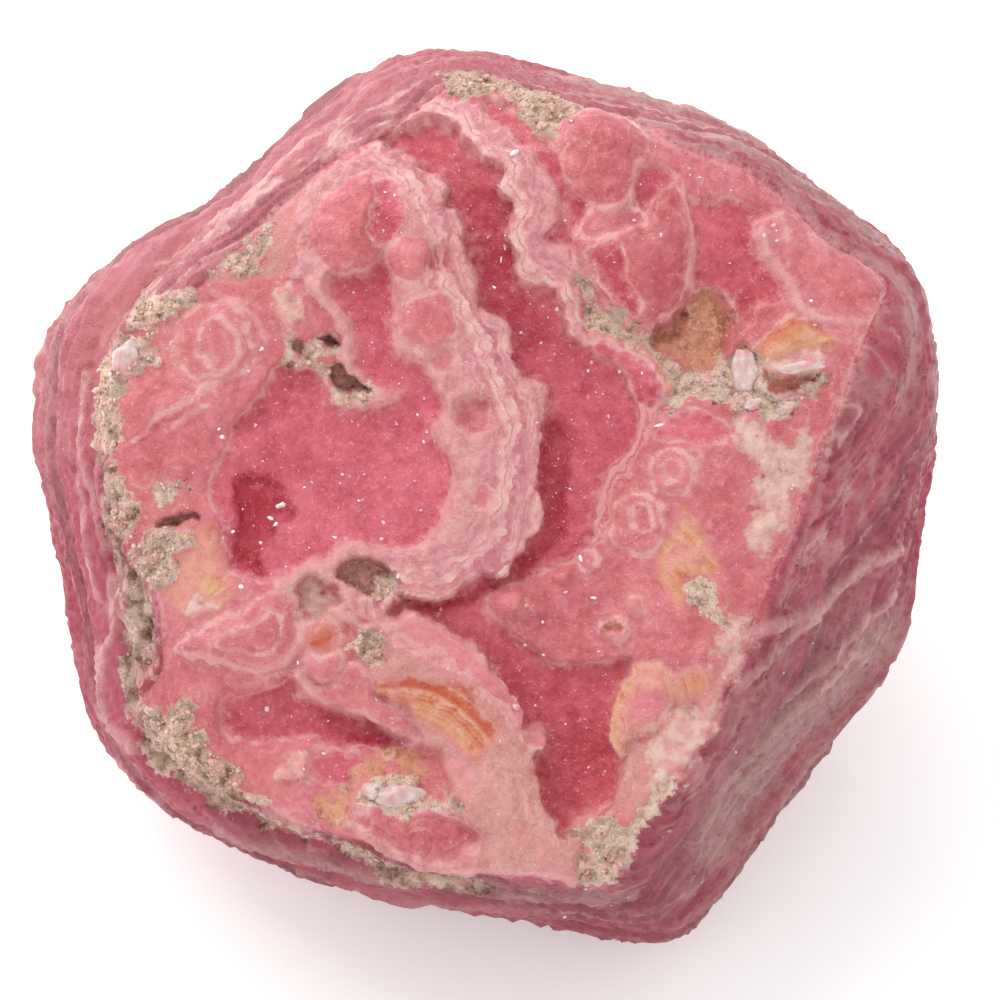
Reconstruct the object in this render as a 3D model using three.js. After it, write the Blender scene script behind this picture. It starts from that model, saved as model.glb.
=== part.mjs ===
// A rough piece of banded rhodochrosite, about 50 mm across, as one solid stone.
// Millimetres, +Z up. The stone rests on a flat fracture, and the middle of its box is over the origin.
import * as THREE from "three";
import { ImprovedNoise } from "three/addons/math/ImprovedNoise.js";
import { mergeVertices } from "three/addons/utils/BufferGeometryUtils.js";

// The stone is laid out like a cut gem lying on its side: a table, which is the big banded face, a girdle
// round the widest place and a back. The table leans back, so that its normal points forward and up.
const TABLE_LEAN = 55; // degrees from the horizon up to the table's normal
const TABLE_LEVEL = 14; // mm from the stone's heart to the table
const GIRDLE_LEVEL = 1;
const BACK_LEVEL = -20;
const SEAT_DEPTH = 16.5; // mm from the heart down to the fracture it rests on

// The facets round the table: the turn of each in degrees, from the right and counter-clockwise, and the mm
// from the table's axis out to the facet at the table, at the girdle and at the back.
const RIM_FACETS = [
  { turn: 75, table: 20.7, girdle: 23.7, back: 14.0 },
  { turn: 52, table: 22.6, girdle: 25.0, back: 17.5 },
  { turn: 15, table: 24.6, girdle: 26.4, back: 15.5 },
  { turn: -6, table: 23.4, girdle: 24.2, back: 17.0 },
  { turn: -22, table: 16.3, girdle: 25.6, back: 19.0 },
  { turn: -38, table: 18.4, girdle: 24.2, back: 16.0 },
  { turn: -90, table: 20.9, girdle: 25.0, back: 20.0 },
  { turn: -102, table: 20.0, girdle: 23.2, back: 15.0 },
  { turn: -111, table: 20.3, girdle: 23.3, back: 18.5 },
  { turn: -133, table: 21.0, girdle: 25.2, back: 14.5 },
  { turn: -169, table: 19.5, girdle: 23.9, back: 17.5 },
  { turn: 176, table: 19.9, girdle: 25.8, back: 16.0 },
  { turn: 139, table: 20.6, girdle: 25.0, back: 18.0 },
  { turn: 127, table: 18.8, girdle: 23.1, back: 13.5 },
  { turn: 100, table: 21.7, girdle: 25.2, back: 17.0 },
];

// The broken faces at the back, each by the direction it faces, in table axes, and its mm from the heart.
const BACK_FACETS = [
  { facing: [0.12, -0.1, -1], reach: 20 },
  { facing: [0.7, 0.25, -1], reach: 20.5 },
  { facing: [-0.75, 0.35, -1], reach: 21 },
  { facing: [-0.1, 0.9, -1], reach: 21.5 },
];

// The table isn't quite flat: it drops away towards three of its corners.
const TABLE_FACETS = [
  { facing: [0, 0, 1], reach: TABLE_LEVEL },
  { facing: [-0.16, 0.4, 1], reach: 20.6 },
  { facing: [0.3, 0.3, 1], reach: 21 },
  { facing: [-0.3, -0.18, 1], reach: 19.6 },
];

const EDGE_SHARPNESS = 48; // a power: the higher it is, the less the edges between facets are worn round

// Longest edge of a triangle: short where the detail is, on the table and the rim below it, longer behind.
const FINE_MM = 1.75;
const COARSE_MM = 2.9;
const FINE_ABOVE = 3; // level

// Hollows worn into the table and the rim, each a soft oval dent: its middle in table axes, its half length
// and half width, the turn of its length in degrees, and its depth.
const HOLLOWS = [
  { at: [2.0, 11.0, 14], long: 8.0, wide: 2.8, turn: -62, depth: 0.8 }, // top of the long dark valley
  { at: [5.6, 1.0, 14], long: 8.5, wide: 3.4, turn: -80, depth: 0.9 }, // its middle
  { at: [4.2, -12.0, 14], long: 8.0, wide: 3.2, turn: -78, depth: 1.3 }, // its lower end
  { at: [-6.7, 1.6, 14], long: 5.5, wide: 4.5, turn: 15, depth: 0.7 }, // wide pool on the left
  { at: [-9.0, -12.4, 14], long: 4.6, wide: 2.8, turn: -20, depth: 1.1 }, // pocket near the bottom edge
  { at: [11.6, 8.6, 14], long: 3.6, wide: 2.6, turn: -25, depth: 1.2 }, // brown pocket at the upper right
  { at: [-14.8, 17.0, 2], long: 5.5, wide: 3.4, turn: 38, depth: 1.1 }, // nick in the upper left side
];

const HOLLOW_STEEPNESS = 1.2; // the higher it is, the smaller a hollow is for its half length and half width

// A thin cap of the stone stands out over a groove that runs round the left and lower rim. Its level wanders
// up and down by waviness over waves of the given size.
const GROOVE = {
  level: 9.2,
  halfWidth: 1.9,
  depth: 1.1,
  from: 118,
  to: 292,
  fade: 22,
  waviness: 0.8,
  waveSize: 7,
  slice: 3, // of the noise it follows
};

// Growth layers show on the rim as broad steps, which fade away between two levels below the table. The whole
// stone is a little lumpy too. A shift only sets one noise apart from the others.
const LEDGE = { spacing: 7.5, depth: 0.6, waviness: 2.2, waveSize: 16, shift: 5, fadeFrom: 5, fadeTo: 2 };
const LUMPS = [
  { size: 11, height: 0.6, shift: 0 },
  { size: 5, height: 0.26, shift: 9 },
];
const LUMP_RISE = 2.5; // how far up the lump noise is moved, in lumps
const SEAT_FADE = 3.5; // mm above the seat by which the lumps and steps have their full height
const SEAT_SNAP = 0.05; // mm above the seat below which the stone is taken as lying on it
const TOUCHING = 1e-5; // mm between corners that are one corner
const MERGED = 1e-3; // mm between points of the finished mesh that become one

const noise = new ImprovedNoise();
const lean = THREE.MathUtils.degToRad(TABLE_LEAN);
const RIGHT = new THREE.Vector3(1, 0, 0);
const UPWARD = new THREE.Vector3(0, Math.sin(lean), Math.cos(lean));
const OUTWARD = new THREE.Vector3(0, -Math.cos(lean), Math.sin(lean));
const tableAxes = new THREE.Matrix4().makeBasis(RIGHT, UPWARD, OUTWARD);
const DOWN_IN_TABLE = new THREE.Vector3(0, -UPWARD.z, -OUTWARD.z);

// One flat facet: the unit normal it faces along and its distance from the heart.
function facet([x, y, z], reach) {
  const length = Math.hypot(x, y, z);
  return { normal: new THREE.Vector3(x, y, z).divideScalar(length), reach: reach / length };
}

// A rim facet through the same line on the girdle and a second line at another level.
function rimFacet(turn, girdle, level, distance) {
  const angle = THREE.MathUtils.degToRad(turn);
  const rise = (girdle - distance) / (level - GIRDLE_LEVEL);
  return facet([Math.cos(angle), Math.sin(angle), rise], girdle + rise * GIRDLE_LEVEL);
}

const facets = [
  ...RIM_FACETS.map((f) => rimFacet(f.turn, f.girdle, TABLE_LEVEL, f.table)),
  ...RIM_FACETS.map((f) => rimFacet(f.turn, f.girdle, BACK_LEVEL, f.back)),
  ...TABLE_FACETS.map((f) => facet(f.facing, f.reach)),
  ...BACK_FACETS.map((f) => facet(f.facing, f.reach)),
  { normal: DOWN_IN_TABLE, reach: SEAT_DEPTH },
];

// The corners where three facets meet and no other facet has cut the stone away.
function corners() {
  const found = [];
  const inside = (p) => facets.every((f) => f.normal.dot(p) < f.reach + TOUCHING);
  facets.forEach((a, i) =>
    facets.slice(i + 1).forEach((b, j) =>
      facets.slice(i + j + 2).forEach((c) => {
        const bc = b.normal.clone().cross(c.normal);
        const volume = a.normal.dot(bc);
        if (Math.abs(volume) < TOUCHING) return;
        const p = bc.multiplyScalar(a.reach);
        p.addScaledVector(c.normal.clone().cross(a.normal), b.reach);
        p.addScaledVector(a.normal.clone().cross(b.normal), c.reach).divideScalar(volume);
        const isNew = found.every((q) => q.distanceTo(p) > TOUCHING);
        if (isNew && inside(p)) found.push(p);
      }),
    ),
  );
  return found;
}

// Each facet's outline as a fan of triangles round its middle, facing out.
function facetTriangles() {
  const all = corners();
  return facets.flatMap((f) => {
    const outline = all.filter((p) => Math.abs(f.normal.dot(p) - f.reach) < 10 * TOUCHING);
    if (outline.length < 3) return [];
    const middle = outline.reduce((sum, p) => sum.add(p), new THREE.Vector3()).divideScalar(outline.length);
    const across = outline[0].clone().sub(middle).normalize();
    const up = f.normal.clone().cross(across);
    const turn = (p) => Math.atan2(p.clone().sub(middle).dot(up), p.clone().sub(middle).dot(across));
    outline.sort((p, q) => turn(p) - turn(q));
    return outline.map((p, i) => [middle, p, outline[(i + 1) % outline.length]]);
  });
}

// Splits every edge that is too long at its middle until none is. Both triangles on an edge split it alike.
function refine(triangles) {
  const middle = (a, b) => a.clone().add(b).multiplyScalar(0.5);
  const length = ([a, b]) => a.distanceTo(b);
  const tooLong = (a, b) => a.distanceTo(b) > (a.z + b.z > 2 * FINE_ABOVE ? FINE_MM : COARSE_MM);
  const next = triangles.flatMap(([a, b, c]) => {
    const turns = [[a, b, c], [b, c, a], [c, a, b]];
    const cuts = turns.filter(([p, q]) => tooLong(p, q));
    if (!cuts.length) return [[a, b, c]];
    // The longest edge that is cut comes first, so a lone cut is always from p to q.
    const [p, q, r] = cuts.reduce((best, cut) => (length(cut) > length(best) ? cut : best));
    const [m, n, o] = [middle(p, q), middle(q, r), middle(r, p)];
    const cutQR = tooLong(q, r);
    const cutRP = tooLong(r, p);
    if (cutQR && cutRP) return [[p, m, o], [m, q, n], [o, n, r], [m, n, o]];
    if (cutQR) return [[p, m, r], [m, q, n], [m, n, r]];
    if (cutRP) return [[p, m, o], [m, q, r], [m, r, o]];
    return [[p, m, r], [m, q, r]];
  });
  return next.length > triangles.length ? refine(next) : next;
}

// The distance from the heart to the worn surface along a unit direction.
function wornReach(direction) {
  let sum = 0;
  for (const f of facets) {
    const along = f.normal.dot(direction);
    if (along > 0) sum += (along / f.reach) ** EDGE_SHARPNESS;
  }
  return sum ** (-1 / EDGE_SHARPNESS);
}

function hollowDepth(p) {
  return HOLLOWS.reduce((depth, hollow) => {
    const angle = THREE.MathUtils.degToRad(hollow.turn);
    const [x, y, z] = p.toArray().map((value, axis) => value - hollow.at[axis]);
    const along = (x * Math.cos(angle) + y * Math.sin(angle)) / hollow.long;
    const across = (y * Math.cos(angle) - x * Math.sin(angle)) / hollow.wide;
    const away = z / (2 * hollow.wide);
    const reach = Math.hypot(along, across, away);
    return depth + hollow.depth * Math.exp(-HOLLOW_STEEPNESS * reach ** 3);
  }, 0);
}

function grooveDepth(p) {
  const turn = (THREE.MathUtils.radToDeg(Math.atan2(p.y, p.x)) + 360) % 360;
  const start = THREE.MathUtils.smoothstep(turn, GROOVE.from, GROOVE.from + GROOVE.fade);
  const end = 1 - THREE.MathUtils.smoothstep(turn, GROOVE.to - GROOVE.fade, GROOVE.to);
  const wave = noise.noise(p.x / GROOVE.waveSize, p.y / GROOVE.waveSize, GROOVE.slice);
  const level = GROOVE.level + GROOVE.waviness * wave;
  return GROOVE.depth * start * end * Math.exp(-(((p.z - level) / GROOVE.halfWidth) ** 2));
}

// Steps between growth layers, on the rim only, as rounded furrows that follow the layers.
function ledgeDepth(p) {
  const [x, y, z] = p.toArray().map((value) => value / LEDGE.waveSize);
  const wave = LEDGE.waviness * noise.noise(x, y, z + LEDGE.shift);
  const phase = (2 * Math.PI * (p.z + wave)) / LEDGE.spacing;
  const onRim = 1 - THREE.MathUtils.smoothstep(p.z, TABLE_LEVEL - LEDGE.fadeFrom, TABLE_LEVEL - LEDGE.fadeTo);
  return (LEDGE.depth * onRim * (1 - Math.cos(phase))) / 2;
}

function lumpHeight(p) {
  return LUMPS.reduce((sum, lump) => {
    const [x, y, z] = p.toArray().map((value) => value / lump.size);
    return sum + lump.height * noise.noise(x + lump.shift, y, z + LUMP_RISE);
  }, 0);
}

function stoneGeometry() {
  const points = refine(facetTriangles()).flat().flatMap((corner) => {
    const direction = corner.clone().normalize();
    const p = direction.clone().multiplyScalar(wornReach(direction));
    const aboveSeat = SEAT_DEPTH - DOWN_IN_TABLE.dot(p);
    const relief = lumpHeight(p) - hollowDepth(p) - grooveDepth(p) - ledgeDepth(p);
    p.addScaledVector(direction, relief * THREE.MathUtils.smoothstep(aboveSeat, SEAT_SNAP, SEAT_FADE));
    p.applyMatrix4(tableAxes);
    if (p.z < SEAT_SNAP - SEAT_DEPTH) p.z = -SEAT_DEPTH;
    return p.toArray();
  });
  const geometry = new THREE.BufferGeometry();
  geometry.setAttribute("position", new THREE.Float32BufferAttribute(points, 3));
  return mergeVertices(geometry, MERGED);
}

const rosePink = new THREE.MeshStandardMaterial({ color: "#cf6a7b", roughness: 0.45, metalness: 0 });

const stone = new THREE.Mesh(stoneGeometry(), rosePink);
stone.name = "rhodochrosite";
stone.geometry.computeBoundingBox();
const { min, max } = stone.geometry.boundingBox;
stone.position.set(-(min.x + max.x) / 2, -(min.y + max.y) / 2, -min.z);

const specimen = new THREE.Group();
specimen.name = "rhodochrosite_specimen";
specimen.add(stone);

export default specimen;
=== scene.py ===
"""A rough piece of banded rhodochrosite: the stone, its clay grains and small crystals, and the table.

The stone is laid out in table axes: right and up across the banded face, and out of it, in mm from the
stone's heart. The face leans back, so these axes are turned into the frame's before anything is placed.
"""
import itertools
import math
from typing import NamedTuple

import bmesh
import bpy
import numpy as np
from bpy.props import FloatProperty, FloatVectorProperty, IntProperty, PointerProperty
from mathutils import Matrix, Vector
from mathutils.bvhtree import BVHTree


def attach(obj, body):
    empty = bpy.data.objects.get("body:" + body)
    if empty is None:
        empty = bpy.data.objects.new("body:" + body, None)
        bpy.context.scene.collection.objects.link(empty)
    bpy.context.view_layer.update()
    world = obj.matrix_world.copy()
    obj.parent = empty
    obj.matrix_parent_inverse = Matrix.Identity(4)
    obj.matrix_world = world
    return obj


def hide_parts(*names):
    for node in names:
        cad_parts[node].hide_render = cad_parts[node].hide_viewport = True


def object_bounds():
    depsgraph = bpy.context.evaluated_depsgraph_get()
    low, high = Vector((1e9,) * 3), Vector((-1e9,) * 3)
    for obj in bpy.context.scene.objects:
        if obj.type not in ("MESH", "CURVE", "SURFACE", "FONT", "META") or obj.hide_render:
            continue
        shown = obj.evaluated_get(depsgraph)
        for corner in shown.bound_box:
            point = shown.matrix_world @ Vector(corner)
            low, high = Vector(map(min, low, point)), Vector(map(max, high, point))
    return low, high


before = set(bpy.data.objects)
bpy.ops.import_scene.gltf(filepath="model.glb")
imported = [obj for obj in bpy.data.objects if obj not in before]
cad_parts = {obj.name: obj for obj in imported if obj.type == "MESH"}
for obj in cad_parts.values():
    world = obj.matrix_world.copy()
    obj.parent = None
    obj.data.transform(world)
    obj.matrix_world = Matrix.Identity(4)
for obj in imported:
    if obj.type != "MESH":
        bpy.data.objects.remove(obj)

bl_info = {
    "name": "Banded rhodochrosite specimen",
    "version": (1, 0, 0),
    "blender": (4, 5, 0),
    "location": "3D View > Sidebar > Specimen",
    "description": "Builds a rough banded rhodochrosite stone around its packed solid",
    "category": "Add Mesh",
}

CAD_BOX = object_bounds()
CAD_NODE = "rhodochrosite"
BODY = "root"

MM = 0.001
HEART = np.array([-0.1072, 2.3833, 16.5])  # mm, in the frame
LEAN = math.radians(55)
RIGHT = np.array([1.0, 0.0, 0.0])
UPWARD = np.array([0.0, math.sin(LEAN), math.cos(LEAN)])
OUTWARD = np.array([0.0, -math.cos(LEAN), math.sin(LEAN)])
TABLE_AXES = np.stack([RIGHT, UPWARD, OUTWARD])
FAR = 4.0  # mm, past which a distance to an outline is no longer told apart
OUTSIDE = 28.0  # mm out from the heart, clear of the stone
FINE_LEVEL = 10.5  # mm out from the heart, past which the stone has its finest mesh
SIDE_LEVEL = 9.5  # mm out from the heart, short of which everything is side
BOX_MARGIN = 0.3 * MM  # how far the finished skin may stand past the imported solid's box
ALL_AXES = {"use_axis_x": True, "use_axis_y": True, "use_axis_z": True}


# ---------------------------------------------------------------- helpers


def srgb(code):
    """The linear colour of a hex code such as "d56d7a"."""
    parts = [int(code[i : i + 2], 16) / 255 for i in (0, 2, 4)]
    return tuple(p / 12.92 if p <= 0.04045 else ((p + 0.055) / 1.055) ** 2.4 for p in parts)


def to_table(points):
    """Row frame in metres to table axes in mm."""
    return (points / MM - HEART) @ TABLE_AXES.T


def from_table(points):
    """Table axes in mm to the row frame in metres."""
    return (points @ TABLE_AXES + HEART) * MM


def smooth(low, high, value):
    """0 below low, 1 above high and a soft step between."""
    part = np.clip((value - low) / (high - low), 0.0, 1.0)
    return part * part * (3 - 2 * part)


SHUFFLED = np.random.default_rng(11).permutation(256)
SLOPES = np.random.default_rng(12).normal(size=(256, 3))
SLOPES /= np.linalg.norm(SLOPES, axis=1)[:, None]
SPOTS = np.random.default_rng(13).uniform(size=(256, 3))


def noise(points, size, seed=0.0):
    """Smooth 3-D gradient noise, about -1 to 1, with lumps of the given size."""
    scaled = points / size + seed * 17.31
    cell = np.floor(scaled).astype(int)
    part = scaled - cell
    fade = part**3 * (part * (part * 6 - 15) + 10)
    total = np.zeros(len(points))
    for corner in itertools.product((0, 1), repeat=3):
        x, y, z = ((cell + corner) & 255).T
        slopes = SLOPES[SHUFFLED[(SHUFFLED[(SHUFFLED[x] + y) & 255] + z) & 255]]
        weight = np.prod(np.where(corner, fade, 1 - fade), axis=1)
        total += weight * (slopes * (part - corner)).sum(axis=1)
    return total * 1.7


def nearest_seed(points, size, seed=0.0):
    """How far each point is from the nearest of many scattered seeds, about 1 apart."""
    scaled = points / size + seed * 13.7
    cell = np.floor(scaled).astype(int)
    part = scaled - cell
    nearest = np.full(len(points), 9.0)
    for step in itertools.product((-1, 0, 1), repeat=3):
        x, y, z = ((cell + step) & 255).T
        spot = SPOTS[SHUFFLED[(SHUFFLED[(SHUFFLED[x] + y) & 255] + z) & 255]]
        away = spot + step - part
        nearest = np.minimum(nearest, (away * away).sum(axis=1))
    return np.sqrt(nearest)


def knobs(points, size, seed=0.0):
    """Closely packed round knobs of the given size: 1 on top of one and 0 between them."""
    return np.clip(1 - 1.5 * nearest_seed(points, size, seed) ** 2, 0, 1)


def rounded(outline, steps=3):
    """A closed outline with a smooth curve through its points."""
    p0, p1 = np.roll(outline, 1, axis=0), outline
    p2, p3 = np.roll(outline, -1, axis=0), np.roll(outline, -2, axis=0)
    squared = 2 * p0 - 5 * p1 + 4 * p2 - p3
    cubed = 3 * p1 - p0 - 3 * p2 + p3
    parts = [k / steps for k in range(steps)]
    rows = [0.5 * (2 * p1 + (p2 - p0) * t + squared * t**2 + cubed * t**3) for t in parts]
    return np.stack(rows, axis=1).reshape(-1, 2)


def off_segment(points, start, end):
    """Each point's way from the nearest point of a straight piece of line."""
    along = end - start
    reach = points - start
    share = np.clip((reach @ along) / (along @ along), 0.0, 1.0)
    return reach - share[:, None] * along


def signed_distance(outline, points):
    """Distance to a closed outline, below zero inside it, and FAR where it is farther than that."""
    line = rounded(np.array(outline, float))
    result = np.full(len(points), FAR)
    low, high = line.min(axis=0) - FAR, line.max(axis=0) + FAR
    near = np.flatnonzero(((points > low) & (points < high)).all(axis=1))
    here = points[near]
    best = np.full(len(near), FAR * FAR)
    inside = np.zeros(len(near), bool)
    for start, end in zip(line, np.roll(line, -1, axis=0)):
        away = off_segment(here, start, end)
        best = np.minimum(best, (away * away).sum(axis=1))
        along = end - start
        if start[1] != end[1]:
            crosses = (start[1] <= here[:, 1]) != (end[1] <= here[:, 1])
            at = start[0] + (here[:, 1] - start[1]) * along[0] / along[1]
            inside ^= crosses & (here[:, 0] < at)
    result[near] = np.where(inside, -1, 1) * np.sqrt(best)
    return result


def line_distance(line, points):
    """Distance to an open line, and FAR where it is farther than that."""
    best = np.full(len(points), FAR)
    for start, end in itertools.pairwise(np.array(line, float)):
        best = np.minimum(best, np.linalg.norm(off_segment(points, start, end), axis=1))
    return best


def ring(right, up, radius, tall=1.0, points=8):
    """A round or oval outline."""
    turns = [2 * math.pi * k / points for k in range(points)]
    return [(right + radius * math.cos(a), up + radius * tall * math.sin(a)) for a in turns]


# ---------------------------------------------------------------- the banded face


class Region(NamedTuple):
    """One patch of the face.

    rise is its level over the face and dome how far its middle stands over its edge, both times RELIEF, and
    slope is the width of its edge in mm. tint runs from -1, deep, to 1, pale. A rimmed patch has a pale line
    round it, and growth lines follow a banked one.
    """

    name: str
    finish: str
    outline: list
    rise: float = 0.0
    slope: float = 0.4
    dome: float = 0.0
    tint: float = 0.0
    rimmed: bool = False
    banked: bool = False


FINISHES = ("pool", "lace", "peach", "clay", "amber", "rust", "pale", "vug")
# how far the knobs and the small noise move each finish's edge, in mm
EDGES = {"lace": (0.42, 0.0), "peach": (0.3, 0.1), "clay": (0.1, 0.4), "rust": (0.1, 0.3), "pale": (0.2, 0.3)}
RELIEF = 1.4  # mm for a rise of 1

FACE = [
    (-2.2, 22.9), (-1.9, 21.6), (-4.3, 19.9), (-5.3, 18.9), (-7.7, 17.8), (-9.6, 16.1), (-10.6, 15.2),
    (-11.8, 14.0), (-12.6, 13.1), (-13.9, 12.2), (-14.8, 11.0), (-16.0, 10.5), (-17.9, 10.1), (-18.5, 9.4),
    (-18.4, 8.5), (-19.3, 7.8), (-20.2, 6.8), (-20.3, 5.0), (-20.2, 2.6), (-19.4, 1.0), (-19.7, -1.2),
    (-19.0, -2.6), (-18.1, -4.0), (-17.3, -5.2), (-16.9, -7.0), (-16.9, -9.0), (-17.5, -10.2),
    (-18.4, -11.2), (-18.0, -12.3), (-17.4, -13.6), (-16.2, -14.3), (-14.6, -15.1), (-12.4, -15.9),
    (-11.0, -16.8), (-9.4, -17.6), (-7.4, -18.1), (-5.0, -18.7), (-3.0, -19.4), (-1.0, -19.7), (1.0, -19.8),
    (3.4, -20.0), (5.0, -20.4), (6.4, -20.4), (7.4, -19.7), (7.9, -18.2), (8.4, -17.1), (9.1, -16.5),
    (9.7, -15.4), (10.6, -14.7), (11.3, -13.5), (12.2, -11.9), (13.0, -9.9), (14.3, -6.9), (17.0, 0.2),
    (18.9, 4.9), (20.2, 8.2), (21.2, 10.3), (21.5, 11.4), (20.0, 12.4), (18.2, 13.3), (16.8, 14.9),
    (15.4, 16.2), (13.6, 17.3), (11.6, 18.0), (9.4, 18.9), (7.4, 20.2), (5.2, 21.0), (3.2, 22.2),
    (1.0, 22.9),
]

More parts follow.
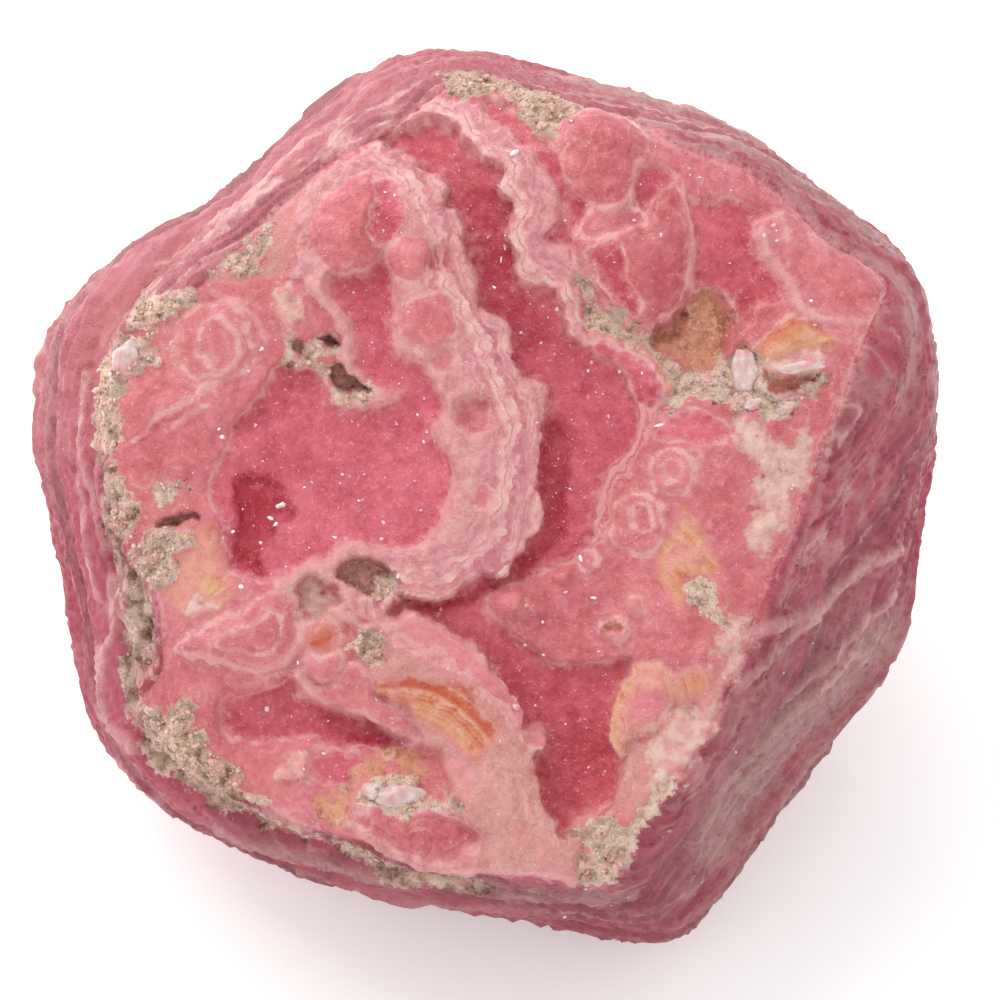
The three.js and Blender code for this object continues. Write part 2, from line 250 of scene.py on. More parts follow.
REGIONS = [
    # broad pale and dusky fields under everything else
    Region("right_field", "pink", [
        (7.0, 3.4), (10.0, 4.6), (14.0, 5.0), (18.6, 5.2), (18.0, 1.6), (15.8, -3.6), (13.4, -9.0),
        (9.6, -9.2), (8.0, -6.0), (7.6, -2.0),
    ], slope=3.0, tint=-0.1),
    Region("left_field", "pink", [
        (-17.8, -9.6), (-17.2, -5.0), (-19.2, -1.0), (-19.4, 4.0), (-17.6, 8.6), (-13.6, 11.0),
        (-10.6, 11.4), (-10.4, 8.0), (-13.4, 4.0), (-14.8, 0.0), (-13.6, -5.0), (-13.0, -8.4),
        (-14.4, -10.6),
    ], slope=2.0, tint=0.3),
    Region("low_field", "pink", [
        (-14.4, -13.6), (-12.0, -13.6), (-9.6, -13.4), (-9.0, -15.8), (-9.0, -17.4), (-12.0, -16.2),
        (-14.4, -15.0),
    ], slope=1.6, tint=0.1),
    # the deep valley that winds from the top to the bottom edge
    Region("valley", "pool", [
        (-4.8, 19.3), (-3.2, 20.2), (-1.5, 19.7), (-1.0, 18.6), (0.2, 17.8), (1.2, 17.1), (0.8, 16.2),
        (1.7, 15.1), (1.1, 14.0), (1.8, 12.8), (1.9, 11.3), (3.4, 10.9), (4.2, 10.0), (4.5, 8.4),
        (5.8, 7.6), (7.0, 6.6), (7.7, 5.0), (8.2, 3.4), (7.2, 1.8), (6.3, 0.7), (5.8, -1.0), (5.6, -2.8),
        (4.2, -3.8), (2.2, -4.6), (0.6, -5.3), (0.9, -6.5), (2.1, -7.9), (3.4, -8.7), (5.2, -8.9),
        (7.6, -8.7), (7.2, -9.9), (6.9, -11.6), (6.8, -13.6), (7.1, -15.4), (6.5, -16.6), (5.0, -17.1),
        (4.6, -18.1), (4.0, -17.9), (2.6, -16.0), (2.4, -13.0), (0.2, -10.0), (-2.6, -8.0), (-5.2, -6.4),
        (-5.4, -4.8), (-2.0, -4.6), (0.6, -3.0), (1.6, 0.6), (1.8, 4.0), (0.2, 8.4), (-1.4, 11.0),
        (-2.0, 14.0), (-3.6, 17.0), (-5.4, 18.4),
    ], rise=-0.55, slope=0.5, tint=-0.1, banked=True),
    Region("valley_bottom", "pool", [
        (3.2, -13.2), (4.6, -12.6), (6.2, -12.9), (6.8, -14.2), (5.6, -15.4), (4.6, -17.2), (4.2, -17.8),
        (3.4, -16.9), (3.1, -15.0),
    ], rise=-0.8, slope=2.4, tint=-0.55),
    Region("valley_top", "pool", [
        (-0.9, 13.4), (-0.7, 15.4), (0.4, 16.0), (1.3, 15.0), (1.0, 13.6), (1.6, 12.6), (1.5, 11.2),
        (2.6, 9.6), (3.4, 8.0), (2.4, 6.8), (1.6, 8.6), (0.2, 9.8), (-0.3, 11.4),
    ], rise=-0.8, slope=0.9, tint=-0.7),
    Region("valley_throat", "pool", [
        (2.9, 1.6), (3.6, 3.6), (4.6, 3.0), (4.4, 0.4), (4.2, -2.0), (3.0, -3.4), (1.6, -4.4), (-1.4, -6.0),
        (-3.8, -6.0), (-4.4, -5.5), (-1.6, -5.3), (1.2, -4.2), (2.8, -2.2), (3.2, -0.6), (2.9, 0.6),
    ], rise=-0.85, slope=0.8, tint=-0.8),
    # the wavy pale bands
    Region("left_lace", "lace", [
        (-9.9, 12.4), (-10.2, 13.8), (-10.0, 15.2), (-9.2, 16.2), (-7.9, 17.2), (-6.4, 18.0), (-5.4, 18.7),
        (-4.4, 18.2), (-3.4, 17.6), (-2.2, 17.0), (-1.9, 16.2), (-1.8, 15.0), (-1.2, 14.8), (-1.1, 13.8),
        (-0.8, 13.0), (-0.5, 12.4), (-0.5, 11.4), (-0.3, 10.6), (0.1, 9.9), (0.4, 9.4), (1.1, 9.0),
        (1.6, 8.3), (1.9, 7.4), (2.2, 6.6), (3.0, 5.7), (3.5, 5.0), (3.3, 4.2), (3.2, 3.4), (3.0, 2.6),
        (3.1, 1.9), (2.9, 1.2), (2.8, 0.2), (3.1, -0.6), (3.2, -1.3), (2.7, -2.0), (2.2, -2.9), (1.6, -3.7),
        (1.4, -4.2), (0.7, -4.1), (-0.3, -4.5), (-1.2, -5.0), (-2.0, -5.4), (-3.2, -5.6), (-4.3, -5.4),
        (-5.0, -6.3), (-6.6, -6.6), (-8.8, -6.8), (-10.2, -5.6), (-11.0, -4.6), (-9.6, -2.0), (-8.4, 2.0),
        (-8.0, 6.0), (-7.4, 8.4), (-8.4, 9.8), (-9.6, 11.2),
    ], rise=0.15, slope=0.35, tint=0.1),
    Region("right_lace", "lace", [
        (-2.4, 21.2), (-1.0, 20.7), (0.2, 20.3), (1.2, 19.6), (1.9, 18.7), (2.7, 18.4), (3.0, 17.4),
        (3.9, 16.2), (4.1, 15.0), (3.4, 13.9), (3.2, 13.3), (4.2, 13.1), (4.9, 12.3), (5.6, 11.5),
        (5.9, 10.4), (5.3, 9.6), (5.0, 8.5), (4.5, 8.3), (4.2, 9.4), (4.1, 10.2), (3.2, 11.0), (1.9, 11.2),
        (1.8, 12.6), (1.1, 13.9), (1.5, 15.0), (0.8, 16.2), (1.1, 17.1), (0.2, 17.9), (-1.0, 18.6),
        (-1.5, 19.6), (-3.0, 20.2), (-4.2, 19.6), (-4.7, 19.9), (-3.4, 20.9),
    ], rise=0.1, slope=0.35, tint=-0.1),
    # the wide smooth pool, the column over it and the round lobe
    Region("wide_pool", "pool", [
        (-10.6, 6.7), (-11.8, 5.4), (-12.9, 4.1), (-13.3, 2.9), (-14.2, 1.4), (-14.6, 0.2), (-13.9, -1.2),
        (-13.6, -2.6), (-13.3, -4.0), (-12.0, -4.7), (-10.6, -4.5), (-9.3, -3.6), (-8.1, -3.2),
        (-6.9, -2.4), (-5.4, -2.7), (-3.9, -2.8), (-2.8, -2.4), (-2.0, -1.2), (-1.4, 0.8), (-2.2, 2.4),
        (-2.8, 3.3), (-1.9, 4.5), (-2.3, 5.5), (-3.0, 6.5), (-4.4, 7.3), (-4.7, 9.2), (-4.8, 11.8),
        (-5.9, 12.1), (-7.9, 11.6), (-7.9, 10.3), (-6.9, 8.9), (-6.8, 7.3), (-5.9, 5.8), (-4.5, 5.2),
        (-5.2, 4.7), (-6.6, 4.4), (-7.6, 4.7), (-8.3, 5.8), (-9.4, 6.8),
    ], rise=-0.3, slope=0.7, tint=0.25),
    Region("column_shade", "pool", [
        (-5.0, 12.8), (-4.9, 10.0), (-4.8, 8.6), (-6.0, 8.8), (-6.8, 9.2), (-7.8, 10.6), (-7.8, 11.6),
        (-6.0, 12.1),
    ], rise=-0.4, slope=1.2, tint=-0.35),
    # painted shadow: the head of the pool under the notch is painted deeper
    Region("pool_head_shadow", "pool", [
        (-10.6, 6.6), (-9.4, 6.7), (-8.8, 5.6), (-9.8, 4.6), (-11.6, 3.6), (-12.8, 3.6), (-12.2, 4.8),
    ], rise=-0.45, slope=1.0, tint=-0.55),
    Region("round_lobe", "pink", [
        (-9.2, 13.6), (-9.0, 14.8), (-8.4, 15.7), (-7.4, 16.2), (-6.0, 16.9), (-4.9, 16.7), (-4.0, 15.9),
        (-3.8, 14.8), (-4.2, 13.6), (-5.0, 12.9), (-5.9, 11.9), (-7.0, 11.6), (-8.2, 11.9), (-8.9, 12.7),
    ], rise=0.1, slope=0.6, dome=0.5, tint=-0.1, rimmed=True),
    Region("lobe_shade", "pool", [
        (-4.3, 16.1), (-4.0, 14.8), (-4.5, 13.7), (-5.4, 13.0), (-5.9, 14.2), (-5.6, 15.4), (-5.8, 16.4),
        (-5.0, 16.6),
    ], rise=0.1, slope=0.9, tint=0.0),
    # eyes and nodules in the bands
    Region("pale_nodule", "pink", ring(-3.8, 12.4, 1.15), rise=0.2, slope=0.7, dome=0.3, tint=0.75),
    Region("brown_eye", "pink", ring(-2.2, 12.2, 0.75), rise=-0.1, tint=-0.4, rimmed=True),
    Region("pink_eye", "pink", ring(-3.0, 9.1, 1.55), rise=0.2, dome=0.25, tint=0.05, rimmed=True),
    Region("pink_eye_core", "pink", ring(-2.4, 8.8, 0.8), rise=0.25, slope=0.9, tint=-0.35),
    Region("hollow_eye", "pink", ring(-2.1, 6.9, 0.75, tall=0.8), rise=0.0, tint=0.5, rimmed=True),
    Region("rough_eye", "pink", ring(-0.4, 4.2, 0.85, tall=1.2), rise=-0.25, tint=0.0, rimmed=True),
    Region("small_fold", "pink", ring(0.1, -0.2, 0.5, tall=1.3), rise=0.05, tint=0.2, rimmed=True),
    # lobes at the upper right
    Region("top_strip", "pool", [
        (-5.0, 19.2), (-4.2, 20.1), (-2.6, 21.3), (-1.9, 22.4), (-2.3, 22.8), (-3.8, 21.8), (-5.4, 20.4),
    ], rise=-0.2, tint=0.15),
    Region("channel", "pool", [
        (0.2, 20.9), (1.0, 20.9), (2.0, 20.2), (3.0, 19.0), (3.6, 18.7), (4.3, 17.6), (4.6, 16.5),
        (5.4, 15.2), (5.2, 14.3), (4.6, 13.4), (5.8, 13.2), (5.0, 12.9), (3.9, 13.1), (3.3, 13.4),
        (4.1, 14.6), (3.9, 16.2), (3.2, 17.2), (2.8, 18.3), (1.9, 18.7), (1.2, 19.6), (0.2, 20.3),
    ], rise=-0.3, tint=-0.05),
    Region("clay_lobe", "pink", [
        (3.9, 18.9), (4.6, 19.9), (5.6, 20.4), (7.2, 20.0), (8.3, 19.3), (8.7, 18.2), (8.2, 17.5),
        (8.0, 16.9), (8.0, 15.9), (7.5, 15.2), (6.4, 15.0), (5.4, 15.3), (4.7, 16.4), (4.3, 17.4),
        (4.1, 18.2),
    ], rise=0.1, slope=0.6, dome=0.4, tint=-0.15, rimmed=True),
    Region("dusky_lobe", "pink", [
        (5.0, 12.7), (4.8, 13.5), (5.3, 14.3), (6.2, 14.8), (8.2, 15.0), (8.8, 15.1), (9.2, 15.9),
        (9.9, 16.3), (10.4, 15.9), (10.6, 15.2), (10.9, 14.3), (11.1, 13.2), (11.0, 12.0), (10.8, 11.0),
        (10.3, 10.2), (9.8, 9.5), (8.9, 8.9), (8.0, 9.0), (7.1, 9.7), (6.3, 10.2), (6.0, 11.1), (5.6, 12.0),
    ], rise=0.2, slope=0.5, dome=0.5, tint=-0.4, rimmed=True),
    Region("dusky_shade", "pool", [
        (5.4, 12.8), (6.6, 13.3), (7.6, 12.6), (7.4, 11.4), (8.4, 10.2), (8.0, 9.4), (6.8, 10.2),
        (6.2, 11.2),
    ], rise=0.4, slope=1.6, tint=-0.6),
    Region("rough_saddle", "pink", [
        (5.4, 13.6), (5.2, 14.3), (6.0, 14.9), (7.4, 15.0), (8.3, 14.9), (8.5, 14.3), (7.6, 13.9),
        (6.6, 13.6),
    ], rise=0.1, slope=0.7, tint=0.4, rimmed=True),
    Region("dark_notch", "pool", [
        (8.2, 17.2), (9.0, 17.4), (10.0, 17.2), (10.4, 16.6), (9.4, 16.2), (9.0, 15.4), (8.4, 15.1),
        (8.1, 16.0),
    ], rise=-0.25, tint=0.0),
    Region("facet", "pool", [
        (10.9, 15.8), (12.0, 15.5), (13.0, 15.7), (14.5, 15.3), (15.0, 14.8), (14.5, 13.7), (14.8, 12.7),
        (15.4, 12.1), (15.9, 11.2), (15.8, 10.2), (14.7, 10.0), (14.3, 9.2), (13.6, 8.6), (13.3, 9.6),
        (13.0, 10.5), (11.4, 10.7), (11.2, 11.8), (11.3, 13.0), (11.0, 14.4),
    ], rise=-0.3, slope=0.5, tint=0.15),
    Region("facet_shade", "pool", [
        (13.2, 12.2), (14.6, 12.8), (15.2, 12.0), (14.6, 10.6), (14.2, 9.8), (13.3, 10.0), (13.0, 11.2),
    ], rise=-0.45, slope=0.7, tint=-0.35),
    Region("right_lobe", "pink", [
        (15.0, 14.8), (16.4, 14.9), (18.0, 13.4), (20.0, 12.3), (21.4, 11.2), (21.0, 9.9), (20.1, 8.3),
        (19.0, 8.3), (18.0, 9.1), (16.8, 10.0), (16.1, 10.8), (15.6, 12.0), (14.9, 12.8), (14.5, 13.6),
    ], rise=0.1, slope=0.5, dome=0.2, tint=0.3, rimmed=True),
    Region("side_lobe", "pool", [
        (5.0, 7.9), (6.2, 8.1), (7.4, 7.6), (8.4, 7.1), (9.1, 6.4), (9.4, 5.6), (9.3, 4.8), (8.9, 4.4),
        (8.2, 4.7), (7.8, 5.6), (7.2, 6.6), (6.4, 7.3), (5.6, 7.7),
    ], rise=-0.05, slope=0.4, dome=0.2, tint=-0.15, rimmed=True),
    # the mottled right side
    Region("rose_patch", "pool", [
        (9.2, 2.9), (9.7, 4.0), (10.8, 4.4), (12.2, 4.1), (13.2, 3.2), (12.2, 2.5), (10.8, 2.8),
    ], rise=0.0, slope=0.7, tint=0.3),
    Region("ringed_eye", "pink", ring(10.0, 1.1, 1.2), rise=0.1, dome=0.15, tint=0.2, rimmed=True),
    Region("ringed_eye_core", "pink", ring(10.0, 1.1, 0.55), rise=0.15, tint=0.35, rimmed=True),
    Region("tall_eye", "pink", ring(8.3, -1.6, 1.35, tall=1.25),
           rise=0.12, dome=0.15, tint=0.3, rimmed=True),
    Region("tall_eye_core", "pink", ring(8.5, -1.2, 0.6, tall=1.2), rise=0.15, tint=0.1, rimmed=True),
    Region("low_eye", "pink", ring(5.6, -3.5, 0.6, tall=0.8), rise=0.1, tint=0.45, rimmed=True),
    Region("lower_lobe", "pink", [
        (0.4, -5.4), (1.6, -5.0), (2.6, -4.4), (3.8, -4.2), (4.8, -4.7), (5.6, -4.4), (6.8, -5.0),
        (7.8, -5.6), (8.0, -6.6), (7.6, -7.6), (6.8, -8.2), (5.2, -8.6), (3.4, -8.5), (2.3, -7.8),
        (1.5, -6.7), (0.8, -6.4),
    ], rise=-0.15, slope=1.3, dome=0.2, tint=-0.2),
    Region("crater", "pink", ring(6.9, -7.2, 0.75, tall=0.8), rise=0.2, tint=0.3, rimmed=True),
    Region("crater_floor", "rust", ring(6.9, -7.0, 0.33, tall=0.8), rise=-0.1, tint=-0.1),
    Region("growth_knob", "pink", ring(1.5, -5.7, 0.6, tall=0.8), rise=0.35, slope=0.5, dome=0.2, tint=0.8),
    Region("growth_knob_right", "pink", ring(7.9, -6.0, 0.5),
           rise=0.3, slope=0.4, dome=0.2, tint=0.6, rimmed=True),
    Region("growth_knob_top", "pink", ring(4.0, -4.5, 0.45, tall=0.7), rise=0.25, slope=0.4, tint=0.5),
    Region("bright_knob", "pink", ring(15.2, 14.0, 0.8, tall=1.1),
           rise=0.2, slope=0.3, dome=0.2, tint=0.85, rimmed=True),
    Region("pale_flake", "pale", [
        (-11.0, -14.7), (-10.4, -14.1), (-9.8, -13.7), (-9.2, -13.8), (-9.0, -14.4), (-9.2, -14.9),
        (-10.2, -15.0),
    ], rise=0.2, slope=0.15, tint=0.9),
    Region("quartz_crack", "vug", [
        (13.1, 5.5), (13.6, 5.15), (14.2, 5.1), (14.9, 5.5), (14.8, 5.2), (14.1, 4.8), (13.4, 4.95),
        (13.0, 5.2),
    ], rise=-0.5, slope=0.2, tint=-0.2),
    Region("nodule_clay", "clay", ring(-15.0, 7.8, 0.75), rise=0.1, slope=0.3, tint=0.3),
    Region("right_pale", "pale", [
        (13.4, 4.3), (13.3, 3.2), (14.0, 2.2), (14.6, 1.0), (14.5, -0.6), (14.0, -2.2), (15.2, -3.0),
        (16.0, -1.2), (16.9, 0.6), (17.5, 2.2), (16.9, 2.9), (16.0, 2.4), (15.2, 3.2), (14.4, 4.0),
    ], rise=0.05, slope=1.0, tint=0.0),
    Region("edge_pale", "pale", [
        (12.4, -7.6), (13.0, -7.0), (14.2, -6.6), (13.6, -8.0), (13.0, -9.4), (12.4, -8.8),
    ], rise=0.0, tint=-0.3, slope=0.8),
    Region("orange_smear", "amber", [
        (10.6, -1.0), (11.3, -1.6), (11.8, -2.6), (12.4, -3.8), (11.4, -4.1), (10.6, -4.4), (10.4, -5.9),
        (9.8, -5.4), (9.3, -4.2), (9.4, -3.2), (10.0, -2.2),
    ], slope=1.0, tint=0.8),
    Region("orange_spot", "amber", ring(11.0, -1.9, 0.45, tall=1.4), tint=0.3),
    Region("white_clay", "clay", [
        (10.8, -4.9), (11.5, -4.3), (12.1, -4.7), (12.2, -5.5), (12.5, -6.2), (12.7, -6.9), (12.0, -6.8),
        (11.3, -6.2), (10.7, -5.8),
    ], rise=0.05, slope=0.25, tint=0.4),
    # the clay and rust pocket
    Region("clay_seam", "clay", [
        (5.6, 11.4), (6.1, 10.2), (7.2, 9.4), (8.3, 8.7), (9.0, 8.2), (9.8, 8.4), (10.3, 7.2), (11.0, 6.8),
        (12.2, 7.1), (13.0, 7.4), (13.8, 7.9), (14.8, 7.2), (15.0, 6.2), (16.4, 6.2), (18.0, 6.4),
        (18.3, 5.8), (17.3, 5.3), (16.5, 4.6), (16.3, 3.8), (15.2, 3.9), (14.2, 4.3), (13.4, 4.2),
        (12.6, 4.9), (11.2, 5.0), (10.0, 4.4), (9.4, 4.6), (9.6, 5.6), (9.3, 6.7), (8.4, 7.5), (7.2, 8.0),
        (6.0, 8.5), (5.3, 8.9), (5.4, 10.2), (5.2, 11.4),
    ], rise=-0.35, slope=0.35, tint=0.3),
    Region("seam_edge", "amber", [
        (7.0, 8.2), (8.2, 7.9), (9.2, 7.2), (9.9, 6.0), (9.7, 5.2), (9.5, 5.6), (9.3, 6.7), (8.4, 7.5),
        (7.2, 7.95),
    ], rise=-0.1, slope=0.3, tint=0.6),
    Region("rust_pocket", "rust", [
        (9.0, 8.3), (9.9, 9.0), (10.6, 9.8), (11.2, 10.5), (12.0, 10.7), (12.9, 10.4), (13.1, 9.6),
        (13.2, 8.9), (12.8, 8.2), (12.9, 7.6), (12.2, 7.0), (11.2, 6.8), (10.2, 7.2), (9.4, 7.7),
    ], rise=-0.7, slope=0.5, tint=0.4),
    Region("rust_shade", "rust", [
        (9.0, 8.3), (9.9, 9.0), (10.6, 9.8), (11.0, 9.4), (10.4, 8.7), (9.8, 8.3),
    ], rise=-0.9, slope=0.4, tint=-0.6),
    Region("rust_wall", "rust", [
        (12.3, 10.5), (13.0, 10.4), (13.1, 9.4), (13.1, 8.6), (12.6, 8.6), (12.5, 9.6),
    ], rise=-0.5, slope=0.4, tint=-0.6),
    Region("amber_lens", "amber", [
        (14.7, 8.0), (15.4, 8.8), (16.3, 9.4), (17.1, 9.2), (17.8, 8.5), (18.9, 8.1), (18.2, 7.6),
        (17.2, 7.4), (16.2, 7.2), (15.4, 7.0), (14.9, 6.6), (14.6, 7.2),
    ], rise=0.1, slope=0.4, dome=0.45, tint=-0.1, rimmed=True),
    Region("lens_lip", "pale", [
        (15.2, 6.7), (16.2, 7.1), (17.2, 7.2), (18.0, 7.1), (17.6, 6.5), (16.6, 6.3), (15.4, 6.3),
    ], rise=0.1, slope=0.3, tint=1.0),
    Region("lens_crack", "rust", [
        (15.0, 5.6), (15.0, 6.2), (16.2, 6.2), (17.4, 6.3), (17.6, 6.1), (16.4, 5.6), (15.6, 5.3),
    ], rise=-0.7, slope=0.25, tint=-0.35),
    # the bottom right lens
    Region("low_mass", "pale", [
        (9.4, -11.9), (10.2, -11.3), (11.2, -11.0), (12.6, -10.9), (12.2, -11.9), (11.5, -13.2),
        (10.7, -14.5), (9.7, -15.3), (8.8, -15.0), (8.7, -13.6), (8.8, -12.7),
    ], rise=0.1, slope=0.8, tint=0.5),
    Region("low_lens", "amber", [
        (7.2, -10.0), (7.6, -9.5), (8.4, -9.25), (9.4, -9.3), (10.1, -9.7), (10.1, -10.8), (9.6, -11.7),
        (9.0, -12.1), (8.2, -12.7), (7.5, -13.6), (7.0, -13.9), (6.8, -13.0), (6.85, -11.6),
    ], rise=0.3, slope=0.35, dome=0.3, tint=0.75, rimmed=True),
    Region("low_lens_core", "pink", [
        (8.0, -10.6), (8.8, -10.2), (9.8, -10.4), (9.9, -11.2), (9.4, -11.9), (8.6, -12.2), (8.0, -11.8),
    ], rise=0.5, slope=0.9, tint=0.6),
    Region("low_streak", "peach", [
        (10.1, -9.6), (11.4, -9.4), (12.5, -9.6), (12.8, -10.2), (12.3, -10.9), (11.2, -10.9),
        (10.2, -11.0),
    ], rise=0.3, slope=0.4, tint=0.35),
    Region("low_warm", "amber", ring(11.3, -10.1, 0.7, tall=0.6), rise=0.35, slope=0.7, tint=-0.1),
    Region("low_lens_edge", "amber", [
        (6.9, -12.6), (7.0, -11.2), (7.4, -10.0), (7.9, -10.2), (7.5, -11.4), (7.3, -12.8), (7.1, -13.7),
    ], rise=0.3, slope=0.3, tint=0.55),
    Region("low_peach", "peach", [
        (7.3, -14.2), (8.2, -13.2), (8.8, -14.2), (8.9, -15.4), (8.6, -16.4), (7.8, -17.2), (7.0, -16.6),
        (7.3, -15.6),
    ], rise=0.0, slope=0.4, tint=0.2),
    Region("bottom_crust", "clay", [
        (4.8, -17.7), (6.2, -17.3), (7.6, -17.4), (8.6, -16.6), (9.3, -15.4), (10.2, -14.9), (9.9, -15.9),
        (9.2, -17.0), (8.3, -17.8), (8.1, -18.8), (7.5, -20.0), (6.3, -20.8), (5.0, -20.6), (4.6, -19.4),
        (5.2, -18.7), (4.8, -18.3),
    ], rise=-0.1, slope=0.3, tint=0.15),
    # the big pale lobe at the lower left of the valley
    Region("peach_lobe", "peach", [
        (-5.0, -6.6), (-4.4, -6.3), (-3.6, -6.5), (-2.6, -7.0), (-1.6, -7.7), (-0.8, -8.0), (-0.2, -8.5),
        (0.3, -9.1), (0.9, -9.7), (1.4, -10.3), (1.8, -11.1), (2.2, -11.9), (2.2, -12.5), (2.9, -12.5),
        (3.2, -13.1), (3.0, -13.7), (2.7, -14.1), (3.0, -14.9), (3.1, -16.0), (3.5, -17.0), (4.0, -17.5),
        (4.3, -18.5), (4.9, -18.4), (5.0, -19.2), (4.6, -20.4), (3.0, -20.4), (1.0, -20.3), (-1.0, -20.2),
        (-3.0, -19.8), (-5.0, -19.0), (-6.6, -17.7), (-7.1, -16.8), (-6.5, -15.6), (-6.0, -15.0),
        (-5.0, -14.9), (-4.0, -15.2), (-3.3, -15.8), (-2.6, -16.1), (-1.6, -16.2), (-1.9, -15.0),
        (-2.2, -14.0), (-3.0, -13.0), (-3.8, -11.6), (-5.0, -10.6), (-5.8, -9.9), (-5.7, -8.9),
        (-5.2, -8.0), (-5.4, -7.2),
    ], rise=0.5, slope=0.4, dome=0.3, tint=0.15),
    Region("peach_edge", "pink", [
        (-4.4, -6.4), (-2.6, -7.0), (-0.8, -8.0), (0.3, -9.1), (1.4, -10.3), (2.2, -11.9), (1.2, -12.2),
        (0.4, -11.2), (-0.4, -10.0), (-1.6, -9.2), (-3.2, -8.4), (-4.6, -7.8),
    ], rise=0.6, slope=0.4, tint=0.8, rimmed=True),
    Region("amber_bands", "amber", [
        (-5.4, -9.9), (-4.0, -9.8), (-2.6, -9.9), (-1.2, -10.1), (-0.5, -11.0), (0.1, -11.8), (0.6, -12.3),
        (0.1, -12.9), (-0.4, -13.6), (-1.0, -13.5), (-2.0, -12.5), (-3.0, -11.9), (-3.9, -11.0),
        (-4.8, -10.6),
    ], rise=0.65, slope=0.5, tint=-0.3),
    Region("lower_round", "peach", ring(0.0, -16.0, 1.9, tall=1.1),
           rise=0.7, slope=0.6, dome=0.3, tint=0.35, rimmed=True),
    Region("rim_nodule", "pink", ring(2.7, -13.2, 0.55), rise=0.5, slope=0.3, tint=0.5, rimmed=True),
    Region("pink_lens", "pink", [
        (-7.1, -16.9), (-5.9, -16.6), (-4.3, -16.8), (-3.2, -16.6), (-1.5, -17.0), (-0.1, -17.8),
        (-0.4, -18.6), (-2.0, -19.2), (-4.0, -18.9), (-5.6, -18.0),
    ], rise=0.45, slope=0.5, tint=-0.5, rimmed=True),
    # the pocket and folds at the lower left
    Region("lower_pocket", "pool", [
        (-13.6, -10.6), (-12.6, -10.7), (-11.4, -10.3), (-10.4, -9.7), (-9.9, -10.0), (-9.3, -10.8),
        (-8.6, -11.1), (-7.6, -11.4), (-6.6, -11.8), (-5.8, -12.0), (-4.8, -12.4), (-3.6, -13.2),
        (-5.2, -13.6), (-6.4, -13.3), (-7.4, -13.4), (-8.4, -13.2), (-9.2, -12.9), (-10.2, -12.9),
        (-11.4, -13.2), (-12.6, -13.2), (-13.6, -12.8), (-13.9, -11.6),
    ], rise=-0.5, slope=1.1, tint=-0.1),
    # painted shade: the floor of the pocket is painted deeper
    Region("pocket_floor_shade", "pool", [
        (-8.6, -11.6), (-7.4, -11.6), (-6.2, -12.0), (-5.0, -12.5), (-4.2, -13.2), (-5.4, -13.1),
        (-6.8, -13.0), (-8.0, -12.5),
    ], rise=-0.6, slope=0.4, tint=-0.7),
    Region("rose_wedge", "pool", [
        (-9.1, -13.6), (-8.0, -13.5), (-6.9, -13.6), (-6.4, -14.2), (-7.0, -15.2), (-8.2, -15.4),
        (-9.1, -14.9),
    ], rise=-0.2, tint=0.0),
    Region("ochre_patch", "rust", [
        (-8.9, -15.9), (-8.0, -15.8), (-7.2, -15.4), (-6.4, -14.4), (-5.8, -13.7), (-4.6, -13.6),
        (-5.2, -14.4), (-6.0, -15.0), (-6.7, -15.6), (-7.2, -16.4), (-7.0, -17.3), (-7.8, -17.4),
        (-8.4, -16.9),
    ], rise=-0.1, slope=0.4, tint=0.75),
    Region("pocket_clay", "rust", [
        (-4.6, -13.6), (-3.6, -13.4), (-3.0, -14.4), (-3.2, -15.6), (-4.0, -15.4), (-4.6, -14.6),
    ], rise=-0.2, slope=0.4, tint=0.3),
    Region("white_pocket", "clay", [
        (-6.7, -15.9), (-6.0, -15.1), (-5.2, -14.8), (-4.4, -14.8), (-3.6, -15.3), (-3.0, -16.0),
        (-2.2, -16.1), (-1.3, -16.3), (-1.2, -16.8), (-2.2, -16.8), (-3.4, -16.6), (-4.2, -16.9),
        (-5.2, -16.8), (-6.0, -16.6),
    ], rise=0.3, slope=0.35, tint=0.8),
    Region("rope_fold", "pink", [
        (-10.3, -9.2), (-9.5, -9.6), (-9.0, -10.2), (-8.2, -10.2), (-7.4, -9.6), (-6.6, -9.2), (-5.9, -9.6),
        (-5.6, -10.4), (-4.6, -11.2), (-3.8, -12.0), (-3.1, -12.9), (-4.2, -12.8), (-5.6, -12.1),
        (-6.4, -11.7), (-7.6, -11.2), (-8.6, -10.9), (-9.4, -10.4),
    ], rise=0.2, slope=0.3, dome=0.25, tint=0.25, rimmed=True),
    # the left middle
    Region("shell_lobe", "pink", [
        (-15.9, -8.6), (-14.6, -8.7), (-13.0, -9.2), (-11.6, -9.5), (-10.6, -9.1), (-9.9, -8.2),
        (-9.6, -7.2), (-9.9, -6.0), (-10.6, -5.2), (-11.6, -5.4), (-12.6, -6.2), (-14.0, -6.8),
        (-15.4, -7.4), (-16.2, -8.0),
    ], rise=0.15, slope=0.4, dome=0.35, tint=0.15, rimmed=True),
    Region("shell_core", "pink", [
        (-14.0, -7.9), (-12.6, -8.1), (-11.4, -8.3), (-10.6, -7.6), (-10.6, -6.6), (-11.4, -6.4),
        (-12.8, -6.9),
    ], rise=0.4, slope=0.4, tint=-0.1, rimmed=True),
    Region("clay_nodule", "clay", ring(-6.0, -8.0, 1.0, tall=1.05), rise=0.1, tint=-0.5),
    Region("pale_ball", "pink", ring(-8.4, -9.0, 1.05, tall=0.75),
           rise=0.2, dome=0.2, tint=0.5, rimmed=True),
    Region("amber_ring", "pink", ring(-8.5, -7.6, 1.0), rise=0.15, slope=0.3, tint=0.6, rimmed=True),
    Region("amber_dot", "amber", ring(-8.5, -7.6, 0.52), rise=0.25, slope=0.3, tint=-0.8),
    Region("grey_hollow", "pale", [
        (-9.8, -4.9), (-9.1, -4.4), (-8.4, -4.6), (-7.6, -5.4), (-8.2, -6.0), (-8.6, -6.6), (-9.4, -6.4),
        (-9.8, -5.8),
    ], rise=-0.5, slope=0.3, tint=-0.35),
    Region("deep_hollow", "vug", [
